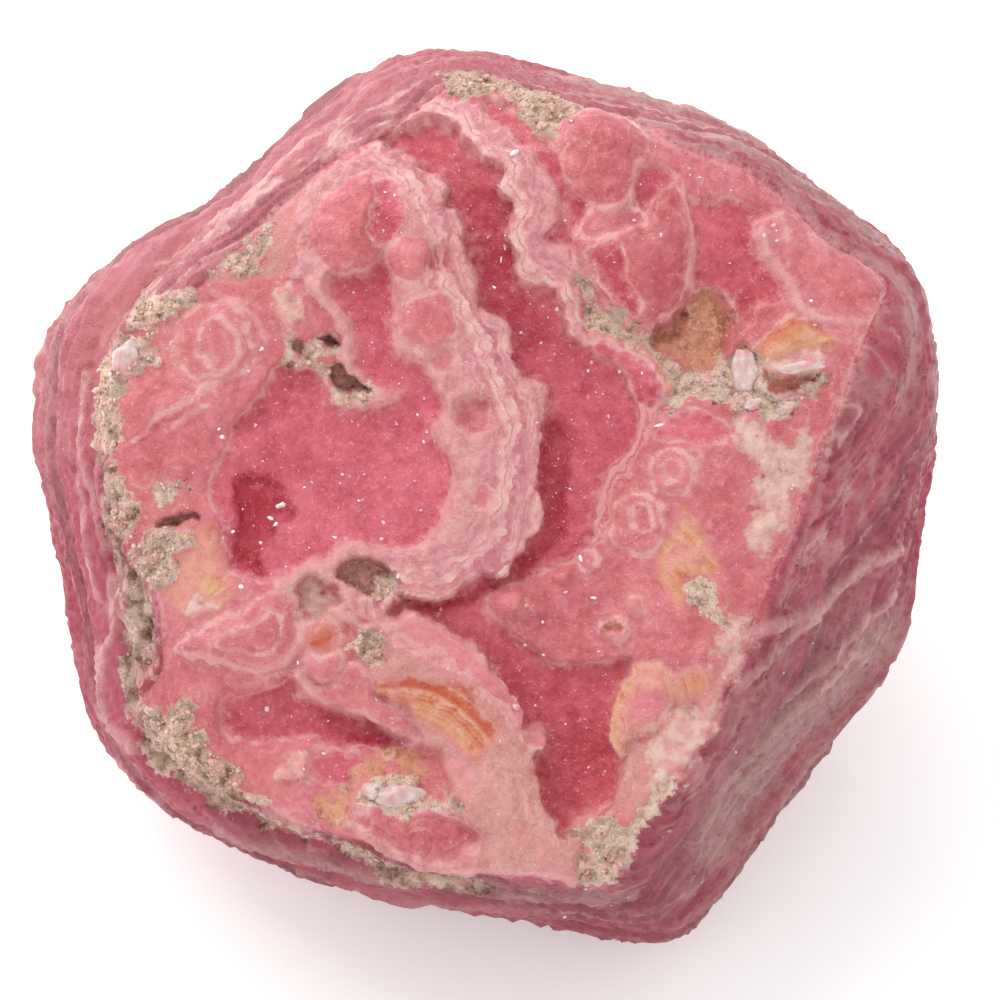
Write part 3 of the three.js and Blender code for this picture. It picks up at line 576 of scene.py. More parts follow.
        (-7.7, -4.2), (-7.2, -3.6), (-6.4, -3.4), (-5.6, -3.6), (-4.9, -4.2), (-4.5, -4.8), (-5.2, -5.4),
        (-6.0, -5.3), (-6.9, -4.9), (-7.6, -4.6),
    ], rise=-0.75, slope=0.3, tint=0.35),
    Region("hollow_clay", "clay", [
        (-5.9, -4.4), (-5.2, -4.3), (-4.5, -4.6), (-4.4, -5.2), (-5.0, -5.6), (-5.7, -5.4),
    ], rise=-0.4, slope=0.3, tint=0.45),
    Region("ringed_left", "pink", ring(-14.2, 8.0, 2.1), rise=0.1, dome=0.15, tint=0.35, rimmed=True),
    Region("ringed_left_core", "pink", ring(-13.9, 7.9, 1.15, tall=1.2), rise=0.2, tint=0.3, rimmed=True),
    Region("pale_spindle", "pale", [
        (-10.2, 11.0), (-9.7, 10.6), (-9.5, 9.8), (-9.8, 9.0), (-10.3, 8.4), (-10.6, 9.2), (-10.9, 10.0),
    ], rise=0.15, slope=0.3, tint=0.0),
    Region("left_fold", "pink", [
        (-18.9, 4.9), (-17.6, 5.8), (-16.4, 6.4), (-14.4, 6.0), (-13.2, 5.2), (-13.8, 3.6), (-14.6, 2.6),
        (-16.0, 2.8), (-17.4, 3.0), (-18.6, 3.2),
    ], rise=0.15, slope=0.5, dome=0.1, tint=0.05),
    Region("left_fold_low", "pink", [
        (-18.8, 2.6), (-17.4, 3.4), (-16.4, 4.2), (-15.0, 4.6), (-14.4, 3.4), (-14.8, 1.6), (-15.6, 0.8),
        (-17.4, 0.8), (-18.9, 1.4),
    ], rise=0.05, slope=0.4, dome=0.1, tint=0.0),
    Region("left_ridge", "lace", [
        (-18.3, 3.05), (-17.3, 4.05), (-16.4, 4.8), (-15.2, 5.3), (-14.2, 6.0), (-14.1, 5.8), (-15.0, 5.1),
        (-16.2, 4.55), (-17.1, 3.75), (-18.2, 2.85),
    ], rise=0.2, slope=0.3, tint=0.6),
    Region("crystal_pit", "pool", [
        (-12.9, 0.4), (-12.2, 1.0), (-11.2, 0.9), (-10.4, 0.0), (-10.0, -1.0), (-10.9, -1.5), (-11.4, -2.4),
        (-11.8, -3.3), (-11.4, -4.3), (-12.4, -4.0), (-13.1, -3.4), (-12.9, -2.2), (-12.9, -1.0),
    ], rise=-0.65, slope=0.45, tint=-1.0),
    # the vugs over the pool, and their pale rims
    Region("vug_rim", "clay", [
        (-10.3, 8.1), (-9.4, 7.8), (-8.6, 8.1), (-7.9, 8.3), (-7.5, 7.7), (-8.0, 7.2), (-8.6, 7.0),
        (-7.6, 6.8), (-6.8, 6.3), (-6.0, 5.8), (-5.6, 5.3), (-6.2, 4.9), (-7.2, 4.8), (-7.9, 5.4),
        (-8.6, 6.3), (-9.2, 6.8), (-9.9, 6.7), (-10.7, 6.9), (-10.3, 7.5),
    ], rise=-0.1, slope=0.3, tint=0.1),
    Region("main_vug", "vug", [
        (-8.0, 6.2), (-7.6, 6.8), (-7.1, 6.5), (-6.6, 6.0), (-6.2, 5.6), (-5.8, 5.35), (-6.5, 5.5),
        (-7.0, 5.4), (-7.5, 5.6),
    ], rise=-0.9, slope=0.25, tint=0.35),
    Region("crescent_vug", "vug", [
        (-8.7, 8.0), (-8.1, 8.25), (-7.6, 7.8), (-7.9, 7.6), (-8.3, 7.8),
    ], rise=-0.7, slope=0.2, tint=0.1),
    Region("small_vug", "vug", ring(-9.75, 7.7, 0.22, tall=1.4), rise=-0.5, slope=0.2, tint=0.0),
    Region("notch_vug", "vug", ring(-10.1, 6.75, 0.3, tall=0.5), rise=-0.5, slope=0.2, tint=0.0),
    # clay along the left side
    Region("upper_left_seam", "peach", [
        (-14.6, 11.4), (-13.6, 11.4), (-12.9, 11.1), (-12.0, 11.6), (-11.0, 11.6), (-10.0, 12.2),
        (-9.6, 13.4), (-9.9, 14.8), (-9.3, 16.2), (-10.4, 15.4), (-11.6, 14.2), (-12.6, 13.2),
        (-13.8, 12.2),
    ], rise=-0.05, slope=0.4, tint=0.1),
    Region("seam_clay", "clay", [
        (-14.4, 11.6), (-13.4, 11.8), (-12.8, 11.5), (-12.0, 12.0), (-11.4, 12.6), (-11.6, 13.4),
        (-11.0, 14.2), (-11.9, 13.9), (-12.9, 12.9),
    ], rise=-0.05, slope=0.3, tint=-0.4),
    Region("top_clay", "clay", [
        (-2.0, 22.9), (-1.8, 21.6), (-1.0, 21.0), (0.9, 21.1), (2.0, 20.4), (2.4, 19.8), (3.0, 19.1),
        (3.9, 19.1), (4.6, 19.9), (5.2, 20.4), (5.0, 21.0), (4.2, 21.5), (3.0, 22.4), (1.5, 23.0),
        (0.0, 23.6),
    ], rise=0.0, slope=0.35, tint=-0.7),
    Region("left_clay_high", "clay", [
        (-18.5, 8.6), (-18.6, 9.6), (-17.9, 10.2), (-17.0, 10.5), (-16.2, 10.7), (-15.3, 10.6),
        (-15.0, 10.2), (-15.8, 9.8), (-16.2, 9.2), (-16.8, 8.8), (-17.6, 8.3),
    ], rise=0.1, slope=0.3, tint=-0.3),
    Region("left_clay", "clay", [
        (-19.3, 8.0), (-18.2, 8.2), (-17.2, 7.9), (-16.6, 7.6), (-16.9, 6.9), (-17.8, 6.3), (-18.8, 5.7),
        (-19.2, 5.3), (-19.0, 3.6), (-19.2, 2.2), (-20.2, 2.2), (-20.6, 4.0), (-20.6, 6.8), (-19.8, 7.3),
    ], rise=0.0, slope=0.3, tint=-0.2),
    Region("left_edge_crust", "clay", [
        (-19.3, 2.0), (-19.0, 0.6), (-18.2, -0.4), (-18.4, -1.6), (-18.8, -2.6), (-19.4, -2.0),
        (-20.0, -0.6), (-20.0, 1.6),
    ], rise=0.0, slope=0.4, tint=-0.45),
    Region("small_clay", "clay", [
        (-17.2, 0.3), (-16.6, 0.8), (-15.8, 0.7), (-15.2, 0.3), (-16.0, 0.0), (-16.8, -0.3),
    ], slope=0.3, tint=-0.2),
    Region("warm_patch", "amber", [
        (-15.6, -2.0), (-14.4, -1.8), (-13.8, -3.4), (-13.3, -4.6), (-13.6, -5.6), (-15.0, -6.2),
        (-16.2, -6.0), (-16.8, -4.8), (-16.4, -3.0),
    ], slope=0.5, tint=0.9),
    Region("warm_spot", "amber", ring(-14.2, -4.8, 0.7, tall=0.8), slope=0.5, tint=0.4),
    Region("mid_clay", "clay", [
        (-18.6, -3.0), (-17.9, -2.2), (-17.4, -1.8), (-16.6, -1.8), (-15.6, -2.0), (-15.3, -2.6),
        (-15.9, -3.2), (-16.2, -4.2), (-16.8, -4.7), (-17.6, -4.7), (-18.3, -3.8),
    ], rise=0.1, slope=0.35, tint=-0.3),
    Region("slit", "vug", [
        (-17.3, -1.6), (-16.4, -1.25), (-15.2, -1.1), (-15.2, -1.4), (-16.2, -1.65),
    ], rise=-0.6, slope=0.2, tint=0.5),
    Region("low_left_crust", "clay", [
        (-18.5, -11.2), (-17.4, -10.9), (-16.6, -11.4), (-15.8, -10.6), (-15.3, -11.2), (-15.2, -12.2),
        (-14.6, -13.2), (-13.8, -14.2), (-12.6, -15.2), (-11.4, -16.4), (-12.6, -16.3), (-14.6, -15.4),
        (-16.4, -14.5), (-17.6, -13.7), (-18.1, -12.4),
    ], rise=0.1, slope=0.35, tint=-0.75),
    Region("pale_sliver", "pale", [
        (-15.2, -5.9), (-14.6, -5.6), (-14.2, -6.1), (-14.9, -6.4), (-15.5, -6.2),
    ], slope=0.3, tint=0.4),
]


class Seam(NamedTuple):
    """A pale or grey layer that comes out as a ridge, drawn as it is seen from the front of the face.

    half_width and rise are in mm, pale and grey are shares of 1, and a seam is on the sides unless it is
    on_face.
    """

    line: list
    half_width: float
    rise: float
    pale: float
    grey: float = 0.0
    on_face: bool = False


SEAMS = [
    Seam([(-9.7, -9.4), (-8.9, -10.5), (-7.9, -11.3), (-6.7, -11.7), (-6.1, -11.4), (-5.4, -12.3),
          (-4.2, -12.9), (-3.4, -13.1)], 0.27, 0.25, 1.0, on_face=True),
    Seam([(-15.5, -8.4), (-14.5, -8.4), (-13.0, -9.0), (-11.8, -9.3), (-10.4, -8.9), (-9.5, -7.8),
          (-9.5, -6.8)], 0.23, 0.2, 0.9, on_face=True),
    Seam([(-8.3, -5.7), (-7.1, -6.6), (-6.3, -7.0), (-4.4, -6.9)], 0.23, 0.2, 1.0, on_face=True),
    Seam([(8.2, 17.4), (8.0, 16.5), (7.8, 15.6), (7.3, 15.1), (6.2, 15.0)], 0.22, 0.2, 0.9, on_face=True),
    Seam([(10.6, 16.0), (10.9, 14.6), (11.1, 13.4), (10.9, 11.8), (11.1, 10.9)], 0.24, 0.2, 0.8,
          on_face=True),
    Seam([(14.6, 13.9), (15.0, 12.7), (15.7, 11.8), (16.4, 10.9), (16.6, 10.0), (17.4, 9.3), (18.9, 9.0),
          (20.1, 9.0)], 0.26, 0.15, 0.8, on_face=True),
    Seam([(-13.7, 9.2), (-12.8, 8.3), (-12.8, 7.2), (-13.7, 6.2), (-14.7, 6.2)], 0.2, 0.15, 0.9,
          on_face=True),
    Seam([(-14.2, 10.6), (-12.9, 10.1), (-11.9, 9.2), (-11.4, 8.0)], 0.2, 0.12, 0.7, on_face=True),
    Seam([(-9.0, 11.2), (-8.3, 10.2), (-7.6, 9.2)], 0.2, 0.15, 0.8, on_face=True),
    Seam([(-16.3, 3.5), (-15.4, 4.2), (-14.5, 4.6)], 0.2, 0.12, 0.8, on_face=True),
    Seam([(14.3, -7.2), (15.7, -6.7), (17.3, -6.3), (18.3, -5.6), (19.4, -4.6), (20.6, -3.5), (22.4, -3.0)],
          0.35, 0.3, 1.0),
    Seam([(13.2, -10.2), (14.8, -8.8), (16.4, -7.3), (17.8, -6.2)], 0.25, 0.25, 0.9),
    Seam([(16.1, -10.9), (18.5, -8.9), (20.3, -7.0), (22.2, -5.4)], 0.22, 0.2, 0.8),
    Seam([(11.3, -18.3), (12.4, -16.0), (14.0, -13.9), (16.1, -11.9), (18.2, -10.3), (20.4, -8.4)], 0.25,
          0.2, 0.9),
    Seam([(12.2, -18.6), (13.6, -15.8), (15.4, -13.4), (17.6, -11.6), (19.8, -9.8), (21.6, -7.6)], 1.5, 0.1,
          0.5, 0.8),
    Seam([(10.6, -21.6), (13.4, -19.4), (16.0, -16.6), (18.6, -13.8)], 0.3, 0.2, 0.5, 0.3),
    Seam([(18.4, 3.2), (17.6, 0.0), (16.4, -3.4), (15.4, -5.8)], 0.2, 0.12, 0.5),
    Seam([(-19.7, -4.4), (-19.4, -7.0), (-20.3, -8.4), (-20.4, -12.0), (-18.6, -13.6)], 0.28, 0.3, 0.9),
    Seam([(-18.9, -4.4), (-18.2, -6.6), (-18.3, -8.8), (-19.0, -10.9)], 0.2, 0.2, 0.7),
    Seam([(-21.6, 1.0), (-21.2, -2.6), (-20.6, -5.6)], 0.22, 0.2, 0.7),
    Seam([(-21.2, 6.4), (-21.6, 3.0), (-20.6, 0.0), (-20.0, -3.0)], 0.25, 0.25, 0.7),
    Seam([(-15.6, 12.6), (-13.4, 14.3), (-11.9, 15.4), (-10.6, 16.4)], 0.2, 0.2, 0.8),
    Seam([(-14.4, 14.4), (-12.6, 15.7), (-11.2, 16.9)], 0.15, 0.15, 0.6),
    Seam([(-17.8, 12.0), (-15.4, 13.2), (-13.8, 15.2)], 0.15, 0.15, 0.5),
    Seam([(-10.0, -20.4), (-6.4, -21.4), (-3.0, -22.0), (1.0, -22.2), (4.6, -22.4)], 0.25, 0.25, 0.5),
    Seam([(-14.2, -18.2), (-11.0, -19.0), (-7.0, -20.2), (-2.0, -20.9), (3.4, -21.4), (8.0, -21.2)], 0.35,
          0.3, 0.4, 0.5),
]


def wander(place, seed):
    """How far an outline strays from where it is drawn, in mm."""
    coarse = 0.26 * noise(place, 1.7, seed) + 0.16 * noise(place, 0.65, seed + 5)
    return coarse + 0.06 * noise(place, 0.3, seed + 7)


def painted(place):
    """The face's fields at each point: a distance to each finish, the level, the tint and the outlines."""
    flat = place[:, :2] + np.stack([wander(place, 1), wander(place, 2)], axis=1)
    knob = 0.65 * knobs(place, 1.0, 1) + 0.35 * knobs(place, 0.5, 2)
    ragged = noise(place, 0.8, 31) * 0.6 + noise(place, 0.35, 32) * 0.4
    fields = {name: np.full(len(place), FAR) for name in FINISHES}
    fields["tint"] = np.zeros(len(place))
    fields["outline"] = np.full(len(place), FAR)
    fields["bank"] = np.full(len(place), FAR)
    level = np.zeros(len(place))
    for region in REGIONS:
        distance = signed_distance(region.outline, flat)
        frill, tatter = EDGES.get(region.finish, (0.1, 0.0))
        distance = distance - frill * (knob - 0.4) + tatter * ragged
        for name in FINISHES:
            if name != region.finish:
                fields[name] = np.maximum(fields[name], -distance)
        if region.finish in FINISHES:
            fields[region.finish] = np.minimum(fields[region.finish], distance)
        fields["outline"] = np.maximum(fields["outline"], -distance)
        if region.banked:
            fields["bank"] = np.minimum(fields["bank"], distance - 0.35 * (knob - 0.4))
        if region.rimmed:
            fields["outline"] = np.minimum(fields["outline"], np.abs(distance))
        inside = smooth(region.slope / 2, -region.slope / 2, distance)
        crown = region.dome * (1 - np.exp(np.minimum(distance, 0) / 0.9))
        level += (RELIEF * (region.rise + crown) - level) * inside
        soft = smooth(region.slope, -region.slope, distance)
        fields["tint"] += (region.tint - fields["tint"]) * soft
    knobbly = 0.05 + 0.16 * smooth(0.0, -0.3, fields["lace"]) + 0.05 * smooth(0.0, -0.3, fields["peach"])
    knobbly *= smooth(-0.6, 0.1, fields["pool"])
    fields["relief"] = knob - 0.4
    spacing = 2.4
    nodule = nearest_seed(place * (1.0, 0.75, 1.0) + 0.15 * ragged[:, None], spacing, 6)
    fields["nodule"] = nodule * spacing
    level += 0.22 * (0.5 - nodule) * smooth(0.2, 0.8, fields["pool"])
    return fields, level + knobbly * (knob - 0.4)


# ---------------------------------------------------------------- sizes and colours


def colour(name, code, description):
    """A colour that a user may change, from its hex code."""
    return FloatVectorProperty(
        name=name, description=description, subtype="COLOR", size=3, min=0, max=1, default=srgb(code)
    )


def length(name, size, description):
    """A length that a user may change, from its size in mm."""
    return FloatProperty(name=name, description=description, unit="LENGTH", default=size * MM)


class StoneColours(bpy.types.PropertyGroup):
    """The colours of the stone."""

    rose_deep: colour("Deep rose", "bc4755", "Darkest colour of the plain lobes")
    rose_pale: colour("Pale rose", "e5868d", "Lightest colour of the plain lobes")
    pool_deep: colour("Deep pool", "b12439", "Darkest colour of the smooth pools")
    pool_pale: colour("Pale pool", "e77386", "Lightest colour of the smooth pools")
    lace_line: colour("Lace line", "c8707c", "Thin darker lines of the wavy bands")
    lace_pale: colour("Lace", "e9a8a8", "Pale ground of the wavy bands")
    peach_deep: colour("Deep peach", "c06a6a", "Darkest colour of the peach lobes")
    peach_pale: colour("Pale peach", "e4aaa2", "Lightest colour of the peach lobes")
    clay_deep: colour("Deep clay", "8a6050", "Darkest colour of the clay")
    clay_pale: colour("Pale clay", "eed4c0", "Lightest colour of the clay")
    amber_deep: colour("Deep amber", "c8521e", "Darkest colour of the orange bands")
    amber_pale: colour("Pale amber", "e8b484", "Lightest colour of the orange bands")
    rust_deep: colour("Deep rust", "9a5038", "Darkest colour of the iron stain")
    rust_pale: colour("Ochre", "e0a078", "Lightest colour of the iron stain")
    quartz_deep: colour("Grey crust", "c09084", "Darkest colour of the pale crust")
    quartz_pale: colour("White crust", "eccabe", "Lightest colour of the pale crust")
    # the hollows are painted dark, partly their own colour and partly painted shade; this colour is also the
    # painted shade between the crumbs of the clay and the crust
    vug_deep: colour("Vug", "6c4034", "Darkest colour inside the hollows")
    vug_pale: colour("Vug wall", "dca096", "Lightest colour inside the hollows")
    side_deep: colour("Deep side", "86303f", "Darkest layers on the sides")
    side_rose: colour("Side", "b24055", "Main layers on the sides")
    side_pale: colour("Pale side", "dca7a4", "Pale layers on the sides")
    side_grey: colour("Grey side", "a8867e", "Grey layers on the sides")


class StoneSizes(bpy.types.PropertyGroup):
    """Sizes of the stone's surface and small pieces, in metres where they have a unit."""

    face_edge: length("Face mesh", 0.26, "Longest edge on the face")
    rim_edge: length("Rim mesh", 0.47, "Longest edge on the rim")
    back_edge: length("Back mesh", 0.85, "Longest edge on the back")
    grains: IntProperty(name="Clay grains", description="How many grains the clay has", default=2600, min=2)
    grain_size: length("Grain", 0.16, "Middling width of a clay grain")
    sparks: IntProperty(name="Sparks", description="How many small bright crystals", default=560, min=2)
    spark_size: length("Spark", 0.1, "Middling width of a small bright crystal")


class StageLook(bpy.types.PropertyGroup):
    """The camera, the lights and the floor."""

    lens: FloatProperty(name="Lens", description="Focal length in mm", default=200.0)
    distance: length("Distance", 306.9, "From the camera to the stone's heart")
    aim_right: length("Aim right", 0.94, "How far right of the heart the camera aims")
    aim_up: length("Aim up", -0.33, "How far above the heart the camera aims")
    key_power: FloatProperty(name="Key", description="Power of the overhead light in watts", default=0.8)
    rim_power: FloatProperty(name="Back light", description="Power of the light behind in watts", default=0.8)
    sky: FloatProperty(name="Sky", description="Strength of the even light from all round", default=0.85)
    floor: colour("Floor", "f4f4f4", "Colour of the floor")
    floor_glow: FloatProperty(name="Floor glow", description="Light that the floor gives off", default=0.3)


# ---------------------------------------------------------------- materials


# near white: partly the calcite's colour, partly painted glint
CALCITE_WHITE_AND_GLINT = (0.95, 0.93, 0.92)
QUARTZ_WHITE = (0.84, 0.72, 0.69)


class Wire:
    """A value in a material: the output socket of a node, with the arithmetic of its Math nodes."""

    def __init__(self, finish, socket):
        self.finish = finish
        self.socket = socket

    def _with(self, operation, first, second):
        return self.finish.add("ShaderNodeMath", {"operation": operation}, {0: first, 1: second})

    def __add__(self, other):
        return self._with("ADD", self, other)

    def __sub__(self, other):
        return self._with("SUBTRACT", self, other)

    def __mul__(self, other):
        return self._with("MULTIPLY", self, other)

    def __radd__(self, other):
        return self._with("ADD", other, self)

    def __rsub__(self, other):
        return self._with("SUBTRACT", other, self)

    def __rmul__(self, other):
        return self._with("MULTIPLY", other, self)

    def size(self):
        """The value without its sign."""
        return self.finish.add("ShaderNodeMath", {"operation": "ABSOLUTE"}, {0: self})


class Finish:
    """A material and its nodes."""

    def __init__(self, name):
        self.material = bpy.data.materials.new(name)
        self.material.use_nodes = True
        self.tree = self.material.node_tree
        self.tree.nodes.clear()
        self.output = self.tree.nodes.new("ShaderNodeOutputMaterial")

    def add(self, kind, settings=None, sockets=None, out=0):
        """A node of any kind, with its settings and the values or links of its sockets."""
        node = self.tree.nodes.new(kind)
        for key, value in (settings or {}).items():
            setattr(node, key, value)
        for key, value in (sockets or {}).items():
            socket = self._socket(node.inputs, key)
            if isinstance(value, Wire):
                self.tree.links.new(value.socket, socket)
            elif socket.type == "RGBA" and len(value) == 3:
                socket.default_value = (*value, 1.0)
            else:
                socket.default_value = value
        return Wire(self, self._socket(node.outputs, out))

    @staticmethod
    def _socket(sockets, key):
        if isinstance(key, int):
            return sockets[key]
        return next(s for s in sockets if s.enabled and key in (s.identifier, s.name))

    def field(self, name):
        """One of the stone's own fields."""
        return self.add("ShaderNodeAttribute", {"attribute_name": name}, out="Fac")

    def mix(self, first, second, share):
        """The first colour with the given share, held to 0 to 1, of the second."""
        settings = {"data_type": "RGBA", "clamp_factor": True}
        sockets = {"Factor_Float": share, "A_Color": first, "B_Color": second}
        return self.add("ShaderNodeMix", settings, sockets, out="Result_Color")

    def step(self, value, low, high):
        """0 at low and 1 at high, soft between."""
        sockets = {"Value": value, "From Min": low, "From Max": high}
        return self.add("ShaderNodeMapRange", {"interpolation_type": "SMOOTHSTEP"}, sockets)

    def grain(self, place, scale, detail=2.0, roughness=0.55):
        """Noise, 0 to 1, with the given count of lumps for each mm."""
        sockets = {"Vector": place, "Scale": scale, "Detail": detail, "Roughness": roughness}
        return self.add("ShaderNodeTexNoise", {"noise_dimensions": "3D"}, sockets)

    def stripes(self, layer, scale, detail=1.0):
        """Noise along one value only, 0 to 1: bands of uneven width."""
        sockets = {"W": layer, "Scale": scale, "Detail": detail, "Roughness": 0.6}
        return self.add("ShaderNodeTexNoise", {"noise_dimensions": "1D"}, sockets)

    def place(self):
        """Object coordinates in mm."""
        sockets = {"Vector": self.add("ShaderNodeTexCoord", out="Object"), "Scale": 1 / MM}
        return self.add("ShaderNodeVectorMath", {"operation": "SCALE"}, sockets)

    def bump(self, strength, depth, height):
        """The normal of a surface roughened by the given height, with its depth in mm."""
        sockets = {"Strength": strength, "Distance": depth * MM, "Height": height}
        return self.add("ShaderNodeBump", None, sockets, out="Normal")

    def close(self, sockets):
        """The surface shader, which ends the material."""
        shader = self.add("ShaderNodeBsdfPrincipled", None, sockets, out="BSDF")
        self.tree.links.new(shader.socket, self.output.inputs["Surface"])
        return self.material


def stone_finish(colours):
    """Every part of the stone, each in its own colours inside its own outline."""
    f = Finish("banded_rhodochrosite")
    p = f.place()
    broad = f.grain(p, 0.35, 2.0) - 0.5
    cloudy = f.grain(p, 1.2, 3.0) - 0.5
    mottle = f.grain(p, 3.0, 3.0, 0.6) - 0.5
    grit = f.grain(p, 8.0, 2.0, 0.7) - 0.5
    relief = f.field("relief")
    # tint rises on raised knobs: partly worn tops, partly painted highlight
    tint = f.field("tint") + relief * 0.3
    patchy = f.step(cloudy, -0.05, 0.1)

    def toned(name, spread):
        """A finish's colour between its deep and its pale one, by tint and the given unevenness."""
        deep, pale = getattr(colours, name + "_deep"), getattr(colours, name + "_pale")
        return f.mix(deep, pale, tint * 0.5 + 0.5 + spread)

    def edge(name, ragged=0.3, soft=0.05):
        """1 inside a finish's outline and 0 outside it."""
        return f.step(f.field(name) + mottle * ragged + cloudy * ragged + grit * 0.2, soft, -soft)

    def thread(distance, width):
        """1 on the line where the distance is 0 and 0 off it."""
        return f.step((distance + mottle * 0.35).size(), width, width * 0.3)

    # the plain lobes, with pale rings and a pale line round each
    rose = toned("rose", broad + cloudy * 1.1 + mottle + grit * 0.5)
    rings = f.stripes(f.field("nodule") + cloudy * 0.7 + mottle * 0.2, 2.2)
    rose = f.mix(rose, colours.lace_pale, f.step(rings, 0.52, 0.72) * (patchy * 0.4 + 0.15))
    outline = f.field("outline")
    rim_lines = f.stripes(outline + cloudy * 0.9 + mottle * 0.35, 2.4)
    rim_share = f.step(rim_lines, 0.45, 0.7) * f.step(outline, 1.3, 0.1) * (patchy * 0.35 + 0.1)
    rose = f.mix(rose, colours.lace_pale, rim_share + thread(outline, 0.2) * (patchy * 0.6 + 0.4))

    # the smooth pools, frosted near their edges
    pool_depth = f.field("pool")
    pool = toned("pool", broad * 0.8 + cloudy + mottle * 0.9 + grit * 0.45)
    frost = f.step(pool_depth + mottle * 0.8 + cloudy * 0.8, -0.5, 0.0) * 0.4
    # the white specks are partly white crystal grains and partly painted glints
    pool = f.mix(pool, colours.lace_pale, frost + f.step(grit, 0.14, 0.24) * 0.35)

    # the wavy bands, whose lines follow the valley's edge
    bank = f.field("bank") + cloudy * 0.7 + mottle * 0.2
    bank_lines = f.stripes(bank, 2.3)
    frill = (f.step(bank_lines, 0.38, 0.62) - 0.5) * f.step(bank.size(), 2.1, 0.9) * (patchy * 0.7 + 0.3)
    lace_share = tint * 0.3 + cloudy * 1.6 + mottle + grit * 0.8 + 0.62
    lace = f.mix(colours.lace_line, colours.lace_pale, lace_share + frill * 1.5)
    lace = f.mix(lace, colours.quartz_pale, f.step(frill, 0.2, 0.5) * 0.5)

    # the pale lobes and the orange bands
    peach_lines = f.stripes(f.field("peach") + cloudy * 1.6 + mottle * 0.3, 1.7, 2.0) - 0.5
    peach = toned("peach", peach_lines * 0.8 + cloudy + mottle * 0.9 + grit * 0.6)
    peach = f.mix(peach, colours.rose_pale, f.step(broad + cloudy * 0.5, -0.05, 0.15) * 0.5)
    amber_lines = f.stripes(f.field("swirl") + cloudy * 0.6 + mottle * 0.15, 2.6, 2.0) - 0.5
    faint = f.step(f.field("tint"), 0.55, 0.7)
    amber_lines = amber_lines * (1.0 - faint * 0.85)
    amber = toned("amber", amber_lines * 1.3 + cloudy * 1.2 + mottle * 0.8 + grit * 0.6)
    amber = f.mix(amber, colours.lace_pale, f.step(amber_lines + cloudy, 0.14, 0.3) * 0.6)

    # the gritty parts, paler on the tops of their crumbs as painted highlight and darker between them as
    # painted shade
    rust = toned("rust", relief * 0.5 + cloudy * 1.8 + mottle * 1.4 + grit * 1.2)
    rust = f.mix(rust, colours.clay_pale, f.step(mottle - cloudy, 0.08, 0.2) * 0.45)
    rust = f.mix(rust, colours.rose_deep, f.step(mottle + cloudy, 0.06, 0.2) * 0.5)
    clay = toned("clay", relief * 0.9 + broad * 1.4 + cloudy * 0.8 + mottle * 1.2 + grit + 0.15)
    # painted shade: the clay darkens to the hollows' colour between its crumbs
    clay = f.mix(clay, colours.vug_deep, f.step(relief + mottle * 1.2 + grit * 0.5, -0.16, -0.42) * 0.75)
    clay = f.mix(clay, colours.rust_pale, f.step(broad + mottle, 0.08, 0.2) * 0.4)
    clay = f.mix(clay, colours.lace_pale, f.step(cloudy - broad, 0.05, 0.16) * 0.55)
    crust = toned("quartz", relief * 1.1 + broad * 0.8 + cloudy * 1.2 + mottle * 0.9 + grit * 0.5 + 0.15)
    crust = f.mix(crust, colours.rose_pale, f.step(cloudy + broad, -0.02, 0.14) * 0.5)
    # painted shade: the crust darkens between its crumbs
    crust = f.mix(crust, colours.vug_deep, f.step(relief + mottle * 1.2, -0.22, -0.5) * 0.5)
    # the hollows, painted dark: partly their own colour, partly painted shade
    vug = toned("vug", cloudy * 1.4 + mottle * 1.8 + grit * 1.2 - 0.05)

    # the layered sides, with painted light and painted shade in their colour
    strata = f.field("strata")
    shade = f.field("shade")
    side_bands = f.stripes(strata, 0.28, 2.0)
    # the layers are painted paler where their ridges stand out, here and in the pale share below: partly
    # wear, partly painted highlight
    side_share = f.step(side_bands, 0.3, 0.62) * 0.8 + relief * 0.15 + cloudy * 0.8 + mottle + grit * 0.7
    # painted shade darkens the low sides and the right edge
    side = f.mix(colours.side_deep, colours.side_rose, side_share + 0.25 - shade * 0.5)
    side_lines = f.stripes(strata + cloudy * 0.35 + mottle * 0.15, 1.5, 2.0)
    side_pale = f.step(side_lines, 0.58, 0.74) * (patchy * 0.45 + 0.15) + f.step(relief, 0.45, 1.0) * 0.15
    # pale layers and seams, painted light on the upper left sides, and white specks that are partly painted
    # glints
    side_pale = side_pale + f.field("pale_and_painted_light") * (mottle * 1.4 + 1.0) + f.step(grit, 0.16, 0.26) * 0.25
    # painted shade also dims the pale layers there
    side = f.mix(side, colours.side_pale, side_pale * (1.0 - shade * 0.4))
    side = f.mix(side, colours.side_grey, f.field("greying") * (cloudy * 2.0 + mottle * 1.6 + 0.6))
    crest = thread(f.field("side"), 0.4) * 0.5 * f.step(mottle + broad, -0.1, 0.15)

    # each laid over the last
    on_side = f.step(f.field("side") + mottle * 0.25, -0.04, 0.04)
    rose = f.mix(rose, colours.lace_pale, f.step(bank_lines, 0.5, 0.62) * f.step(bank.size(), 1.3, 0.2) * 0.7)
    base = f.mix(rose, pool, edge("pool"))
    base = f.mix(base, lace, edge("lace"))
    base = f.mix(base, peach, edge("peach", 1.0, 0.3))
    in_peach = f.step(f.field("peach"), 0.0, -0.2)
    base = f.mix(base, colours.quartz_pale, f.step(frill, 0.1, 0.5) * in_peach * 0.25)
    base = f.mix(base, colours.lace_pale, thread(pool_depth, 0.15) * (patchy * 0.6 + 0.25))
    # white specks over the face: partly white crystal grains, partly painted glints
    base = f.mix(base, colours.quartz_pale, f.step(grit + mottle * 0.7, 0.16, 0.28) * 0.6)
